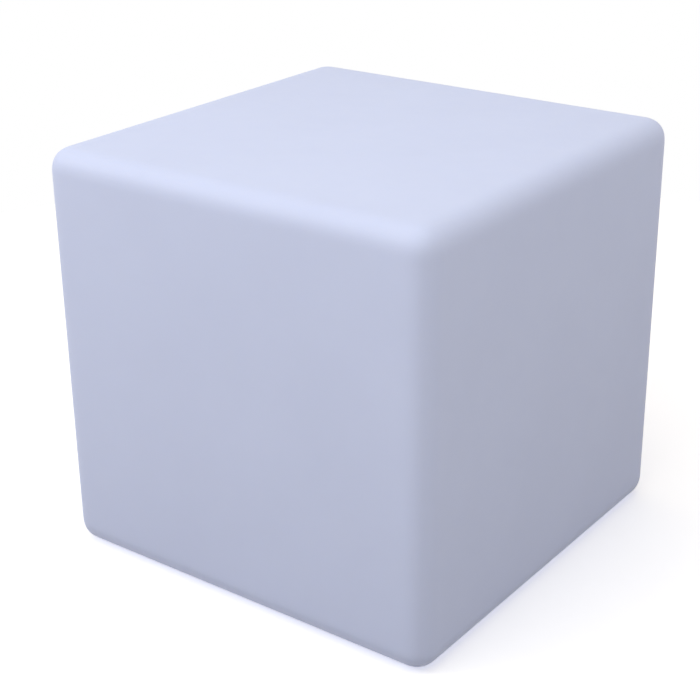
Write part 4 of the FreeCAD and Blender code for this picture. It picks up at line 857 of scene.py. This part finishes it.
# ================================================================ studio
def floor_material(name, passes_light):
    """Plain pale paint, white to the camera and in reflections, and clear from below.

    Where it passes light, it is clear to the light that the cube gathers too.
    """
    n = Surface(name)
    n.tree.nodes.remove(n.shader)
    seen = n.background_rays()
    diffuse = n.add("ShaderNodeBsdfDiffuse", {"Color": n.mix(seen, FLOOR_COLOUR, FLOOR_SEEN)})
    clear = n.add("ShaderNodeNewGeometry").outputs["Backfacing"]
    if passes_light:
        clear = n.math("MAXIMUM", clear, n.math("SUBTRACT", 1.0, seen))
    surface = n.add("ShaderNodeMixShader", {0: clear, 1: diffuse.outputs[0]})
    n.tree.links.new(n.add("ShaderNodeBsdfTransparent").outputs[0], surface.inputs[2])
    n.tree.links.new(surface.outputs[0], n.tree.nodes["Material Output"].inputs["Surface"])
    return n.material


def make_floor():
    """A floor that keeps the object's shadow.

    It is open under the cube, and a band round the opening passes light, so that the underside and its
    rounded border can be seen and lit too.
    """
    reaches = (
        lambda angle: reach_at(angle, FLAT_HALF, 0.0),
        lambda angle: reach_at(angle, CONTACT_REACH, EDGE_REACH),
        lambda angle: FLOOR_RADIUS,
    )
    bm = bmesh.new()
    rings = [loop_at(bm, 0.0, reach) for reach in reaches]
    skin(bm, rings, closed=False, capped=False)
    for k, face in enumerate(bm.faces):
        face.material_index = 0 if k < len(rings[0]) else 1
    bmesh.ops.recalc_face_normals(bm, faces=bm.faces)
    if next(iter(bm.faces)).normal.z < 0:
        bmesh.ops.reverse_faces(bm, faces=bm.faces)
    mesh = bpy.data.meshes.new("floor")
    bm.to_mesh(mesh)
    bm.free()
    floor = bpy.data.objects.new("floor", mesh)
    bpy.context.scene.collection.objects.link(floor)
    floor.data.materials.append(floor_material("floor_under_edge", passes_light=True))
    floor.data.materials.append(floor_material("floor", passes_light=False))


def make_world():
    """An even sky that is white wherever it is looked at, straight, mirrored or through glass."""
    world = bpy.data.worlds.new("studio")
    bpy.context.scene.world = world
    world.use_nodes = True
    n = Nodes(world.node_tree)
    background = n.tree.nodes["Background"]
    n.feed(background.inputs["Color"], n.mix(n.background_rays(), SKY_COLOUR, WHITE))


def make_lamp(name, place, size, power, colour):
    """A broad soft round lamp, aimed at the cube."""
    lamp = bpy.data.lights.new(name, "AREA")
    lamp.shape = "DISK"
    lamp.size = size
    lamp.energy = power
    lamp.color = colour
    holder = bpy.data.objects.new(name, lamp)
    holder.location = place
    holder.rotation_euler = (Vector(place) - LAMP_AIM).to_track_quat("Z", "Y").to_euler()
    holder.visible_camera = False
    bpy.context.scene.collection.objects.link(holder)


def make_camera():
    flat = math.cos(CAMERA_ELEVATION)
    back = Vector(
        (math.sin(CAMERA_AZIMUTH) * flat, -math.cos(CAMERA_AZIMUTH) * flat, math.sin(CAMERA_ELEVATION))
    )
    right = (-back).cross(Vector((0, 0, 1))).normalized()
    up = right.cross(-back)
    aim = CAMERA_AIM + right * CAMERA_ASIDE + up * CAMERA_UP
    rolled_right = right * math.cos(CAMERA_ROLL) + up * math.sin(CAMERA_ROLL)
    rolled_up = up * math.cos(CAMERA_ROLL) - right * math.sin(CAMERA_ROLL)
    turned = Matrix((rolled_right, rolled_up, back)).transposed().to_4x4()
    data = bpy.data.cameras.new("camera")
    data.sensor_width = CAMERA_SENSOR
    data.lens = CAMERA_LENS
    data.clip_end = CAMERA_FAR
    camera = bpy.data.objects.new("camera", data)
    camera.matrix_world = Matrix.Translation(aim + back * CAMERA_DISTANCE) @ turned
    bpy.context.scene.collection.objects.link(camera)
    bpy.context.scene.camera = camera


bpy.context.scene.view_settings.view_transform = "Standard"
make_camera()
make_world()
make_lamp("overhead", OVERHEAD_PLACE, OVERHEAD_SIZE, OVERHEAD_POWER, OVERHEAD_COLOUR)
make_lamp("fill", FILL_PLACE, FILL_SIZE, FILL_POWER, FILL_COLOUR)
make_floor()
build_object()
